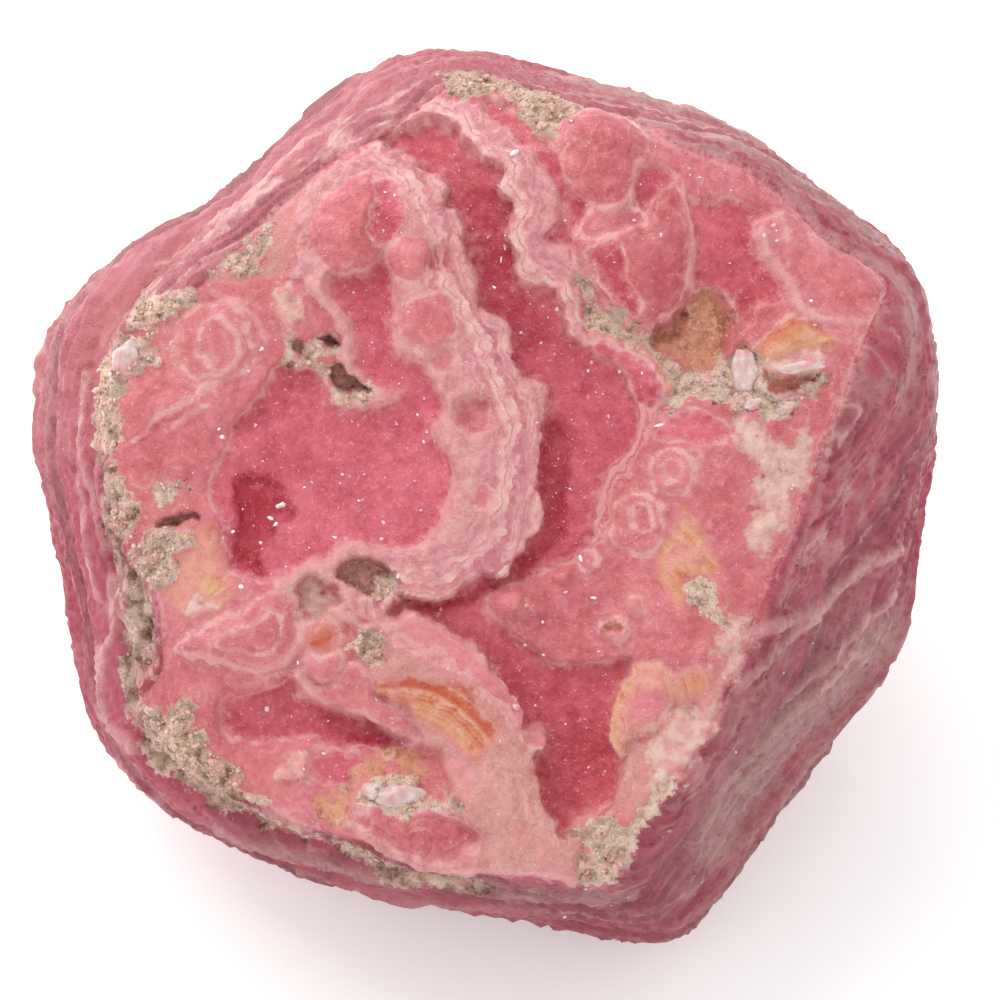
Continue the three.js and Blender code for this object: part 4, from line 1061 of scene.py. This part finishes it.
    # pale seams on the face; the same field holds painted light on the upper left sides
    base = f.mix(base, colours.lace_pale, f.field("pale_and_painted_light") * (mottle + 1.1))
    base = f.mix(base, amber, edge("amber", 1.2, 0.5) * (0.85 - faint * (0.45 - cloudy * 1.6)))
    base = f.mix(base, side, on_side)
    base = f.mix(base, colours.lace_pale, crest)
    base = f.mix(base, crust, edge("pale", 2.2, 0.5) * f.step(relief + mottle + cloudy, -0.4, -0.05) * 0.85)
    base = f.mix(base, rust, edge("rust", 1.4, 0.3) * 0.9)
    in_clay = edge("clay", 1.2, 0.12)
    base = f.mix(base, clay, in_clay)
    base = f.mix(base, vug, edge("vug", 0.5, 0.15))

    rough = mottle * 0.5 + 0.42 + in_clay * 0.4
    height = mottle * 0.9 + grit * 1.1 + cloudy * 0.8 + in_clay * (grit * 1.2 + relief * 0.6)
    return f.close({
        "Base Color": base,
        "Roughness": rough,
        "Normal": f.bump(0.9, 0.1, height),
        "IOR": 1.6,
        "Specular IOR Level": 0.45,
        "Subsurface Weight": 0.1,
        "Subsurface Radius": (1.0, 0.3, 0.3),
        "Subsurface Scale": 0.4 * MM,
    })


def clay_finish(colours):
    """The loose grains of the clay."""
    f = Finish("gritty_clay")
    p = f.place()
    patch = f.grain(p, 1.1)
    shade = (f.grain(p, 3.4) - 0.5) * 2.2 + (f.grain(p, 9.0, 1.0) - 0.5) * 1.2 + patch * 0.9 + 0.15
    base = f.mix(colours.clay_deep, colours.clay_pale, shade)
    base = f.mix(base, colours.rust_pale, f.step(patch, 0.48, 0.36) * 0.3)
    base = f.mix(base, colours.lace_pale, f.step(patch, 0.52, 0.62) * 0.5)
    return f.close({"Base Color": base, "Roughness": 0.85, "Specular IOR Level": 0.3})


def spark_finish(colours):
    """The small bright crystals, whose near-white colour is partly white calcite and partly painted glint."""
    f = Finish("calcite_and_painted_glint")
    base = f.mix(colours.lace_pale, CALCITE_WHITE_AND_GLINT, f.step(f.grain(f.place(), 1.4, 1.0), 0.35, 0.6))
    return f.close({"Base Color": base, "Roughness": 0.12, "IOR": 1.66, "Specular IOR Level": 0.8})


def quartz_finish(colours):
    """The milky lumps."""
    f = Finish("milky_quartz")
    p = f.place()
    veil = f.grain(p, 1.6, 3.0)
    base = f.mix(colours.quartz_deep, QUARTZ_WHITE, veil * 1.5 - 0.2)
    base = f.mix(base, colours.rose_pale, f.step(f.grain(p, 0.9), 0.5, 0.68) * 0.6)
    return f.close({
        "Base Color": base,
        "Roughness": 0.3,
        "IOR": 1.54,
        "Normal": f.bump(0.6, 0.08, f.grain(p, 4.0, 3.0)),
        "Subsurface Weight": 0.4,
        "Subsurface Radius": (1.0, 0.7, 0.7),
        "Subsurface Scale": 0.5 * MM,
    })


def floor_finish(look):
    """The plain pale floor."""
    return Finish("pale_floor").close({
        "Base Color": tuple(look.floor),
        "Roughness": 0.9,
        "Specular IOR Level": 0.1,
        "Emission Color": (1.0, 1.0, 1.0),
        "Emission Strength": look.floor_glow,
    })


# ---------------------------------------------------------------- the stone


def copy_of_solid():
    """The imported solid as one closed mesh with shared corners."""
    bm = bmesh.new()
    bm.from_mesh(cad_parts[CAD_NODE].data)
    bmesh.ops.remove_doubles(bm, verts=bm.verts, dist=0.002 * MM)
    bmesh.ops.dissolve_degenerate(bm, edges=bm.edges, dist=0.06 * MM)
    bmesh.ops.triangulate(bm, faces=bm.faces[:])
    return bm


def finest_edge(edge, sizes):
    """The longest an edge may be, by where its middle lies."""
    place = to_table(np.array((edge.verts[0].co + edge.verts[1].co) / 2))
    facing = (edge.verts[0].normal + edge.verts[1].normal).dot(Vector(OUTWARD))
    if place[2] > FINE_LEVEL and facing > 1.0:
        return sizes.face_edge
    return sizes.rim_edge if facing > -0.1 else sizes.back_edge


def refined(bm, sizes):
    """Splits long edges, and rounds the facets off after each of the first two splits."""
    for step in range(7):
        edges = [e for e in bm.edges if e.calc_length() > finest_edge(e, sizes)]
        if not edges:
            break
        bmesh.ops.subdivide_edges(bm, edges=edges, cuts=1, use_grid_fill=True, use_single_edge=True)
        bmesh.ops.triangulate(bm, faces=[f for f in bm.faces if len(f.verts) > 3])
        if step < 2:
            for _ in range(2):
                bmesh.ops.smooth_vert(bm, verts=bm.verts, factor=0.5, **ALL_AXES)
        bm.normal_update()


def strata_at(place):
    """The growth layer a point lies in, as mm above the heart once the layers' waves are taken out."""
    waves = 1.6 * noise(place, 11.0, 3) + 0.8 * noise(place, 4.2, 4) + 0.25 * noise(place, 1.5, 5)
    return place[:, 2] + 0.22 * place[:, 0] + waves


def ledge_height(strata):
    """Uneven steps between the layers, in mm."""
    turn = strata * 2 * math.pi
    coarse, fine = (turn / 2.7) % 1.0, (turn / 6.9) % 1.0
    return 0.12 * np.sin(turn / 2.7) + 0.10 * smooth(0, 0.8, fine) * (1 - smooth(0.8, 1, fine)) + 0.2 * coarse


def crust_at(place, side):
    """Distance to the dark gritty groove that runs below the rim of the face, below zero in it. Its darkness
    is partly the clay's own colour and partly painted shade under the rim.
    """
    turn = np.degrees(np.arctan2(place[:, 1], place[:, 0])) % 360
    along = smooth(150, 172, turn) * (1 - smooth(262, 285, turn))
    low = smooth(185, 205, turn)
    width = 0.25 + 0.65 * low + 0.2 * noise(place, 2.4, 9)
    middle = 0.4 + 0.95 * low + 0.3 * noise(place, 3.5, 8)
    return np.abs(side - middle) - width + 0.2 * noise(place, 0.9, 10) + 1.2 * (1 - along)


def along_one(value):
    """A value as points on a slanting line, where noise makes bands of it."""
    return np.stack([value] * 3, axis=1)


def band_amber(place, fields):
    """Lays bands along the amber lens at the upper right and round the amber arc low down."""
    right, up = place[:, 0], place[:, 1]
    arc = np.hypot(right + 4.5, up + 15.5)
    lens = 0.8 * up - 0.35 * right
    upper = up > 0
    fields["swirl"] = np.where(upper, lens, arc)
    outward = np.where(upper, (lens - 0.2) / 1.6, (arc - 4.2) / 1.7)
    elsewhere = np.where(upper, right < 12, arc > 7.6)
    outward = np.where(elsewhere, 0.5, outward)
    fields["tint"] += smooth(0.1, -0.2, fields["amber"]) * np.clip(1.4 * (0.5 - outward), -0.9, 0.6)


def colour_sides(place, side, on_side, strata, fields):
    """How grey and how pale the layers of the sides are, with painted light on the upper left sides and
    painted shade on the low sides and along the right edge.
    """
    right, up = place[:, 0], place[:, 1]
    upper_right = smooth(8.0, 14.0, 0.5 * right + 0.87 * up - 4) * smooth(2.0, 8.0, right) * on_side
    low_right = smooth(-2.0, -8.0, up) * smooth(9.0, 13.0, right) * on_side
    layers = noise(along_one(strata), 2.4, 12) + 0.4 * noise(place, 1.2, 28)
    greyed = 0.6 * upper_right * smooth(-0.5, 0.4, layers) + 0.5 * low_right * smooth(-0.6, 0.3, layers)
    fields["greying"] = greyed
    pale_and_painted_light = 0.6 * smooth(0.1, 0.7, noise(place, 7.0, 13)) * smooth(0.0, 0.6, noise(place, 1.6, 14))
    # painted light: the sides at the upper left are made paler, as if lit from there; the rest of this field
    # is pale layers and seams
    upper_left = smooth(2.0, 12.0, up - 0.5 * right - 6)
    pale_and_painted_light = pale_and_painted_light + 0.17 * upper_left + 0.6 * upper_right * smooth(-0.4, 0.4, layers)
    fields["pale_and_painted_light"] = on_side * pale_and_painted_light
    # painted shade: the low sides and the sides near the right edge are darkened
    shaded_right_edge = smooth(12.0, 16.0, right - 0.2 * up) * smooth(4.0, 0.5, side)
    shade = smooth(-9.0, -18.0, up - 0.3 * right) + 0.45 * shaded_right_edge * (1 - upper_right)
    fields["shade"] = on_side * np.clip(shade, 0, 1)


def seam_level(place, on_side, fields):
    """Bleaches and greys the seams, and gives how far they stand out, in mm."""
    broken = 0.35 * noise(place, 1.6, 33) + 0.15 * noise(place, 0.6, 34)
    raised = np.zeros(len(place))
    for seam in SEAMS:
        distance = line_distance(seam.line, place[:, :2]) + seam.half_width * broken
        near = smooth(1.4 * seam.half_width, 0.2 * seam.half_width, distance)
        near *= 1 - on_side if seam.on_face else on_side * smooth(-6.0, 0.0, place[:, 2])
        fields["pale_and_painted_light"] += seam.pale * near * (0.7 + 0.9 * broken)
        fields["greying"] = np.maximum(fields["greying"], seam.grey * near)
        raised += seam.rise * near * (0.7 + 0.5 * knobs(place, 0.6, 35))
    return raised


def crumbled(place, on_side, fields):
    """Crumbs in the gritty parts and facets in the deepest pit, and how far they stand out, in mm."""
    in_clay = smooth(0.1, -0.2, fields["clay"])
    in_clay = np.maximum(in_clay, 0.8 * smooth(0.2, -0.2, np.minimum(fields["pale"], fields["rust"])))
    crumbs = 0.55 * knobs(place, 0.85, 4) + 0.45 * knobs(place, 0.5, 5) - 0.35
    fields["relief"] += (crumbs - fields["relief"]) * in_clay
    level = in_clay * (0.16 * noise(place, 0.8, 19) + 0.3 * crumbs + 0.08 * noise(place, 0.35, 20))
    in_pit = smooth(-0.8, -0.9, fields["tint"]) * (1 - on_side)
    facets = nearest_seed(place * (1.0, 0.6, 1.0), 1.1, 24) - 0.5
    fields["tint"] += 2.0 * (facets + 0.05) * in_pit
    return level + 0.7 * facets * in_pit


def stone_fields(place):
    """Every field of the stone's material, and how far each point stands out, in mm."""
    fields, level = painted(place)
    side = signed_distance(FACE, place[:, :2] + 0.12 * noise(place, 1.1, 6)[:, None])
    side = np.where(place[:, 2] < SIDE_LEVEL, np.maximum(side, SIDE_LEVEL - place[:, 2]), side)
    fields["side"] = np.clip(side, -FAR, FAR)
    on_side = smooth(-0.05, 0.3, side)
    for name in FINISHES:
        fields[name] = np.maximum(fields[name], side - 0.25)
    fields["outline"] = np.maximum(fields["outline"], side)
    growth = np.hypot(place[:, 0] - 4.6, 1.3 * (place[:, 1] + 6.3))
    fields["bank"] += 3.0 * smooth(5.2, 3.8, growth)
    strata = strata_at(place)
    fields["strata"] = strata
    crust = crust_at(place, side)
    fields["clay"] = np.minimum(fields["clay"], crust)
    # the groove's clay is painted at its darkest: partly its own colour, partly painted shade under the
    # overhanging rim
    fields["tint"] += (-0.9 - fields["tint"]) * smooth(0.4, 0.0, crust)
    band_amber(place, fields)
    colour_sides(place, side, on_side, strata, fields)
    lumps = 0.12 * noise(place, 2.6, 15) + 0.07 * noise(place, 1.0, 16)
    texture = 0.04 * noise(place, 0.5, 17) + 0.02 * noise(place, 0.28, 27)
    lace_ridges = 0.09 * noise(along_one(fields["bank"] + 0.2 * noise(place, 1.1, 18)), 0.75, 18)
    calm = 1 - 0.6 * smooth(0.0, -0.6, fields["pool"])
    face_level = level + (lumps * 0.6 + texture) * calm + lace_ridges * smooth(0.0, -0.2, fields["lace"])
    layered = place * (0.45, 0.45, 1.3)
    ridges = 1 - 2 * np.abs(noise(layered, 0.9, 21)) - np.abs(noise(layered, 0.42, 22))
    wrinkles = 0.05 * ridges + 0.1 * noise(layered, 1.7, 23) + 0.02 * knobs(layered, 0.5, 3)
    side_level = ledge_height(strata) + lumps + texture * 1.4 + wrinkles + 0.05
    fields["relief"] += (ridges + 0.5 * noise(place, 1.7, 23) - fields["relief"]) * on_side
    raised = seam_level(place, on_side, fields)
    clay_level = crumbled(place, on_side, fields)
    total = face_level * (1 - on_side) + side_level * on_side + clay_level + raised
    crust_dip = smooth(0.3, -0.3, crust) * smooth(0.1, 0.5, side)
    return fields, total - 0.45 * crust_dip


def finished_mesh(bm, name, material):
    """The bmesh as a smooth-shaded object at the origin."""
    mesh = bpy.data.meshes.new(name)
    bm.to_mesh(mesh)
    bm.free()
    mesh.materials.append(material)
    mesh.polygons.foreach_set("use_smooth", [True] * len(mesh.polygons))
    piece = bpy.data.objects.new(name, mesh)
    bpy.context.scene.collection.objects.link(piece)
    return piece


def soft_normals(mesh, rounds=6):
    """The mesh's normals, each evened out with those of its neighbours."""
    ends = np.zeros(len(mesh.edges) * 2, int)
    mesh.edges.foreach_get("vertices", ends)
    first, second = ends.reshape(-1, 2).T
    normals = points_of(mesh, "normal")
    for _ in range(rounds):
        total = normals.copy()
        np.add.at(total, first, normals[second])
        np.add.at(total, second, normals[first])
        normals = total / np.linalg.norm(total, axis=1)[:, None]
    return normals


def points_of(mesh, attribute="co"):
    """The mesh's points, or its normals."""
    values = np.zeros(len(mesh.vertices) * 3)
    mesh.vertices.foreach_get(attribute, values)
    return values.reshape(-1, 3)


class SPECIMEN_OT_stone(bpy.types.Operator):
    """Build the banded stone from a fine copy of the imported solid"""

    bl_idname = "specimen.stone"
    bl_label = "Banded stone"

    def execute(self, context):
        sizes = context.scene.stone_sizes
        bm = copy_of_solid()
        refined(bm, sizes)
        stone = finished_mesh(bm, "banded_stone", stone_finish(context.scene.stone_colours))
        mesh = stone.data
        points, normals = points_of(mesh), soft_normals(mesh)
        place = to_table(points)
        fields, level = stone_fields(place)
        level = level * smooth(0.05, 2.5, points[:, 2] / MM)
        points += normals * (level * MM)[:, None]
        points[:, 2] = np.maximum(points[:, 2], 0.0)
        points = np.clip(points, np.array(CAD_BOX[0]) - BOX_MARGIN, np.array(CAD_BOX[1]) + BOX_MARGIN)
        mesh.vertices.foreach_set("co", points.ravel())
        for name, values in fields.items():
            attribute = mesh.attributes.new(name, "FLOAT", "POINT")
            attribute.data.foreach_set("value", values.astype(np.float32))
        mesh.update()
        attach(stone, BODY)
        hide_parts(CAD_NODE)
        return {"FINISHED"}


# ---------------------------------------------------------------- small pieces


def repeated(count, shape):
    """One mesh holding count copies of the small shape that the given function adds."""
    bm = bmesh.new()
    shape(bm)
    each = len(bm.verts)
    one = bpy.data.meshes.new("one")
    bm.to_mesh(one)
    for _ in range(count - 1):
        bm.from_mesh(one)
    bpy.data.meshes.remove(one)
    return bm, each


def random_turns(rng, count):
    """Evenly spread random rotation matrices."""
    q = rng.normal(size=(count, 4))
    q /= np.linalg.norm(q, axis=1)[:, None]
    w, x, y, z = q.T
    return np.stack([
        1 - 2 * (y * y + z * z), 2 * (x * y - z * w), 2 * (x * z + y * w),
        2 * (x * y + z * w), 1 - 2 * (x * x + z * z), 2 * (y * z - x * w),
        2 * (x * z - y * w), 2 * (y * z + x * w), 1 - 2 * (x * x + y * y),
    ], axis=1).reshape(-1, 3, 3)


def strewn(rng, count, weights):
    """Random points on the stone's triangles, likelier where the weight of their corners is high."""
    mesh = bpy.data.objects["banded_stone"].data
    corners = np.zeros(len(mesh.polygons) * 3, int)
    mesh.polygons.foreach_get("vertices", corners)
    corners = corners.reshape(-1, 3)
    points, normals = points_of(mesh), points_of(mesh, "normal")
    area = np.zeros(len(mesh.polygons))
    mesh.polygons.foreach_get("area", area)
    chance = area * weights[corners].min(axis=1)
    chosen = rng.choice(len(corners), count, p=chance / chance.sum())
    share = rng.dirichlet((1, 1, 1), count)
    at = (points[corners[chosen]] * share[:, :, None]).sum(axis=1)
    facing = (normals[corners[chosen]] * share[:, :, None]).sum(axis=1)
    return at, facing / np.linalg.norm(facing, axis=1)[:, None]


def field_of(name):
    """One of the finished stone's fields."""
    mesh = bpy.data.objects["banded_stone"].data
    values = np.zeros(len(mesh.vertices))
    mesh.attributes[name].data.foreach_get("value", values)
    return values


def scatter(name, count, shape, size, sink, weights, material, seed):
    """A piece of many small grains, pressed into the stone where the weights are high."""
    rng = np.random.default_rng(seed)
    bm, each = repeated(count, shape)
    piece = finished_mesh(bm, name, material)
    at, facing = strewn(rng, count, weights)
    width = size * np.exp(rng.normal(0, 0.45, count))
    stretch = rng.uniform(0.5, 1.3, (count, 3)) * width[:, None]
    local = points_of(piece.data).reshape(count, each, 3) * stretch[:, None, :]
    turned = np.einsum("nij,nkj->nki", random_turns(rng, count), local)
    centre = at + facing * (width * sink)[:, None]
    points = turned + centre[:, None, :]
    dips = np.minimum(points[:, :, 2].min(axis=1), 0.0)
    points[:, :, 2] -= dips[:, None]  # a grain that would dip under the floor is lifted whole
    piece.data.vertices.foreach_set("co", points.reshape(-1))
    piece.data.polygons.foreach_set("use_smooth", [False] * len(piece.data.polygons))
    piece.data.update()
    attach(piece, BODY)
    return piece


def pebble(bm):
    """A rough grain, one unit across."""
    bmesh.ops.create_icosphere(bm, subdivisions=1, radius=0.5)


def crystal(bm):
    """A small five-sided crystal, one unit across, narrower at one end."""
    bmesh.ops.create_cone(bm, segments=5, radius1=0.45, radius2=0.25, depth=0.8, cap_ends=True)
    bmesh.ops.triangulate(bm, faces=bm.faces[:])


class SPECIMEN_OT_grains(bpy.types.Operator):
    """Strew gritty grains over the clay"""

    bl_idname = "specimen.grains"
    bl_label = "Clay grains"

    def execute(self, context):
        sizes = context.scene.stone_sizes
        weights = smooth(0.15, -0.3, field_of("clay")) + 1e-9
        off_side = 1 - 0.97 * smooth(-0.1, 0.2, field_of("side"))
        weights = weights * off_side * smooth(-0.5, 0.4, field_of("relief"))
        material = clay_finish(context.scene.stone_colours)
        scatter("clay_grains", sizes.grains, pebble, sizes.grain_size, 0.05, weights, material, 21)
        return {"FINISHED"}


class SPECIMEN_OT_sparks(bpy.types.Operator):
    """Strew small bright crystals over the face"""

    bl_idname = "specimen.sparks"
    bl_label = "Calcite sparks"

    def execute(self, context):
        sizes = context.scene.stone_sizes
        on_face = smooth(0.0, -0.3, field_of("side"))
        weights = on_face * (0.15 + smooth(0.1, -0.3, field_of("pool"))) + 0.02
        material = spark_finish(context.scene.stone_colours)
        scatter("calcite_sparks", sizes.sparks, crystal, sizes.spark_size, 0.05, weights, material, 22)
        return {"FINISHED"}


class Crystal(NamedTuple):
    """A crystal set in the face: its middle, half width, half height, how far it stands out, and its turn.

    The lengths are in mm and the turn is in degrees.
    """

    right: float
    up: float
    wide: float
    tall: float
    stands: float = 0.3
    turn: float = 0.0


QUARTZ = [
    Crystal(13.95, 6.35, 0.7, 1.15, 0.5, 8),
    Crystal(14.3, 4.7, 0.45, 0.3, 0.2, 30),
    Crystal(16.2, 4.5, 0.65, 0.35, 0.2, 20),
    Crystal(16.75, 6.65, 1.2, 0.27, 0.2, 6),
    Crystal(-18.8, 7.1, 0.6, 0.9, 0.2, -20),
    Crystal(-4.4, -15.9, 1.2, 0.55, 0.25, 5),
    Crystal(-5.7, -15.7, 0.6, 0.45, 0.2, -20),
]
GLINTS = [
    Crystal(15.4, 14.2, 0.15, 0.1, 0.06, 30),
    Crystal(14.9, 13.7, 0.1, 0.14, 0.06, -20),
    Crystal(15.6, 13.4, 0.12, 0.08, 0.06, 10),
    Crystal(-10.6, -0.6, 0.42, 0.16, 0.1, 20),
    Crystal(-11.2, -1.3, 0.2, 0.1, 0.1, -30),
    Crystal(-10.9, -1.6, 0.15, 0.1, 0.1, 60),
    Crystal(-11.7, -2.6, 0.12, 0.1, 0.1, 0),
    Crystal(-12.7, -4.9, 0.16, 0.13, 0.1, 0),
    Crystal(-5.3, -2.4, 0.12, 0.1, 0.08, 0),
    Crystal(2.3, -5.9, 0.14, 0.12, 0.1, 0),
    Crystal(2.3, -8.0, 0.12, 0.1, 0.1, 0),
    Crystal(1.2, 13.1, 0.08, 0.22, 0.08, 10),
    Crystal(1.0, 12.4, 0.06, 0.2, 0.08, -8),
    Crystal(1.7, 18.0, 0.3, 0.15, 0.1, 25),
    Crystal(-13.7, 3.0, 0.15, 0.12, 0.1, 0),
    Crystal(-11.4, -11.4, 0.14, 0.16, 0.1, 0),
    Crystal(5.6, 9.0, 0.2, 0.08, 0.08, 30),
    Crystal(8.0, 14.4, 0.12, 0.07, 0.08, 0),
    Crystal(9.4, 13.6, 0.08, 0.13, 0.08, 10),
    Crystal(4.4, -5.2, 0.15, 0.08, 0.08, 20),
    Crystal(5.9, -5.5, 0.2, 0.08, 0.08, -10),
    Crystal(5.2, -3.4, 0.1, 0.2, 0.08, 15),
    Crystal(3.2, -6.8, 0.1, 0.1, 0.08, 0),
    Crystal(9.3, 3.6, 0.3, 0.08, 0.08, 15),
    Crystal(17.4, 10.2, 0.1, 0.1, 0.08, 20),
    Crystal(17.6, 8.9, 0.12, 0.1, 0.08, 0),
]


def set_in_face(name, crystals, smooth_shaded, subdivisions, material, seed):
    """A piece of rough crystals, each sunk into the face at its place."""
    stone = bpy.data.objects["banded_stone"].data
    surface = BVHTree.FromPolygons([v.co for v in stone.vertices], [p.vertices for p in stone.polygons])
    balls = {"subdivisions": subdivisions, "radius": 1.0}
    bm, each = repeated(len(crystals), lambda bm: bmesh.ops.create_icosphere(bm, **balls))
    piece = finished_mesh(bm, name, material)
    shapes = points_of(piece.data).reshape(len(crystals), each, 3)
    for index, set_at in enumerate(crystals):
        start = from_table(np.array([set_at.right, set_at.up, OUTSIDE]))
        hit, _, _, _ = surface.ray_cast(Vector(start), -Vector(OUTWARD))
        if hit is None:
            raise RuntimeError("a crystal lies off the stone")
        unit = shapes[index]
        reach = 1 + 0.3 * noise(unit, 0.9, seed + index) + 0.16 * noise(unit, 0.4, seed + index)
        reach += 0.1 * knobs(unit, 0.35, seed + index)
        local = unit * reach[:, None] * (set_at.wide, set_at.tall, set_at.stands)
        turn = np.array(Matrix.Rotation(math.radians(set_at.turn), 3, "Z"))
        shapes[index] = from_table(local @ turn.T + to_table(np.array(hit)[None, :]))
    piece.data.vertices.foreach_set("co", shapes.reshape(-1))
    piece.data.polygons.foreach_set("use_smooth", [smooth_shaded] * len(piece.data.polygons))
    piece.data.update()
    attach(piece, BODY)
    return piece


class SPECIMEN_OT_crystals(bpy.types.Operator):
    """Set the milky quartz lumps and the larger glints in the face"""

    bl_idname = "specimen.crystals"
    bl_label = "Quartz and glints"

    def execute(self, context):
        colours = context.scene.stone_colours
        set_in_face("quartz_lumps", QUARTZ, True, 4, quartz_finish(colours), 31)
        set_in_face("calcite_glints", GLINTS, False, 1, spark_finish(colours), 51)
        return {"FINISHED"}


# ---------------------------------------------------------------- the stage


STONE_MIDDLE = Vector((0, 0, 0.015))
FLOOR_REACH = 3.0


def softbox(scene, name, width, height, power, at):
    """A wide soft light that faces the stone."""
    light = bpy.data.lights.new(name, "AREA")
    light.shape = "RECTANGLE"
    light.size = width
    light.size_y = height
    light.energy = power
    lamp = bpy.data.objects.new(name, light)
    lamp.location = at
    lamp.rotation_mode = "QUATERNION"
    lamp.rotation_quaternion = (lamp.location - STONE_MIDDLE).to_track_quat("Z", "Y")
    scene.collection.objects.link(lamp)


class SPECIMEN_OT_stage(bpy.types.Operator):
    """Set out the floor, the lights and the camera"""

    bl_idname = "specimen.stage"
    bl_label = "Stage"

    def execute(self, context):
        scene = context.scene
        look = scene.stage_look
        bm = bmesh.new()
        bmesh.ops.create_grid(bm, x_segments=1, y_segments=1, size=FLOOR_REACH)
        mesh = bpy.data.meshes.new("floor")
        bm.to_mesh(mesh)
        bm.free()
        mesh.materials.append(floor_finish(look))
        floor = bpy.data.objects.new("floor", mesh)
        scene.collection.objects.link(floor)

        world = bpy.data.worlds.new("soft_room")
        scene.world = world
        world.use_nodes = True
        sky = world.node_tree.nodes["Background"].inputs
        sky["Color"].default_value = (1.0, 1.0, 1.0, 1.0)
        sky["Strength"].default_value = look.sky

        softbox(scene, "overhead_softbox", 0.35, 0.25, look.key_power, (-0.14, 0.16, 0.38))
        softbox(scene, "back_softbox", 0.4, 0.2, look.rim_power, (-0.3, 0.32, 0.16))

        camera = bpy.data.cameras.new("camera")
        camera.lens = look.lens
        camera.sensor_width = 36.0
        camera.clip_start = 0.02
        camera.clip_end = 10.0
        holder = bpy.data.objects.new("camera", camera)
        aim = HEART * MM + RIGHT * look.aim_right + UPWARD * look.aim_up
        holder.location = aim + OUTWARD * look.distance
        holder.rotation_mode = "QUATERNION"
        holder.rotation_quaternion = Vector(OUTWARD).to_track_quat("Z", "Y")
        scene.collection.objects.link(holder)
        scene.camera = holder
        scene.view_settings.view_transform = "Standard"
        return {"FINISHED"}


class SPECIMEN_PT_panel(bpy.types.Panel):
    """The specimen's pieces"""

    bl_idname = "SPECIMEN_PT_panel"
    bl_label = "Rhodochrosite specimen"
    bl_space_type = "VIEW_3D"
    bl_region_type = "UI"
    bl_category = "Specimen"

    def draw(self, context):
        for operator in OPERATORS:
            self.layout.operator(operator.bl_idname)
        for group in (context.scene.stone_sizes, context.scene.stone_colours, context.scene.stage_look):
            for name in group.__annotations__:
                self.layout.prop(group, name)


OPERATORS = (
    SPECIMEN_OT_stage,
    SPECIMEN_OT_stone,
    SPECIMEN_OT_grains,
    SPECIMEN_OT_sparks,
    SPECIMEN_OT_crystals,
)
GROUPS = {"stone_sizes": StoneSizes, "stone_colours": StoneColours, "stage_look": StageLook}


def register():
    for cls in (*GROUPS.values(), *OPERATORS, SPECIMEN_PT_panel):
        bpy.utils.register_class(cls)
    for name, cls in GROUPS.items():
        setattr(bpy.types.Scene, name, PointerProperty(type=cls))


def unregister():
    for name in GROUPS:
        delattr(bpy.types.Scene, name)
    for cls in (SPECIMEN_PT_panel, *reversed(OPERATORS), *reversed(list(GROUPS.values()))):
        bpy.utils.unregister_class(cls)


def main():
    """Builds the specimen on its stage."""
    register()
    bpy.ops.specimen.stage()
    bpy.ops.specimen.stone()
    bpy.ops.specimen.grains()
    bpy.ops.specimen.sparks()
    bpy.ops.specimen.crystals()


if __name__ == "__main__":
    main()
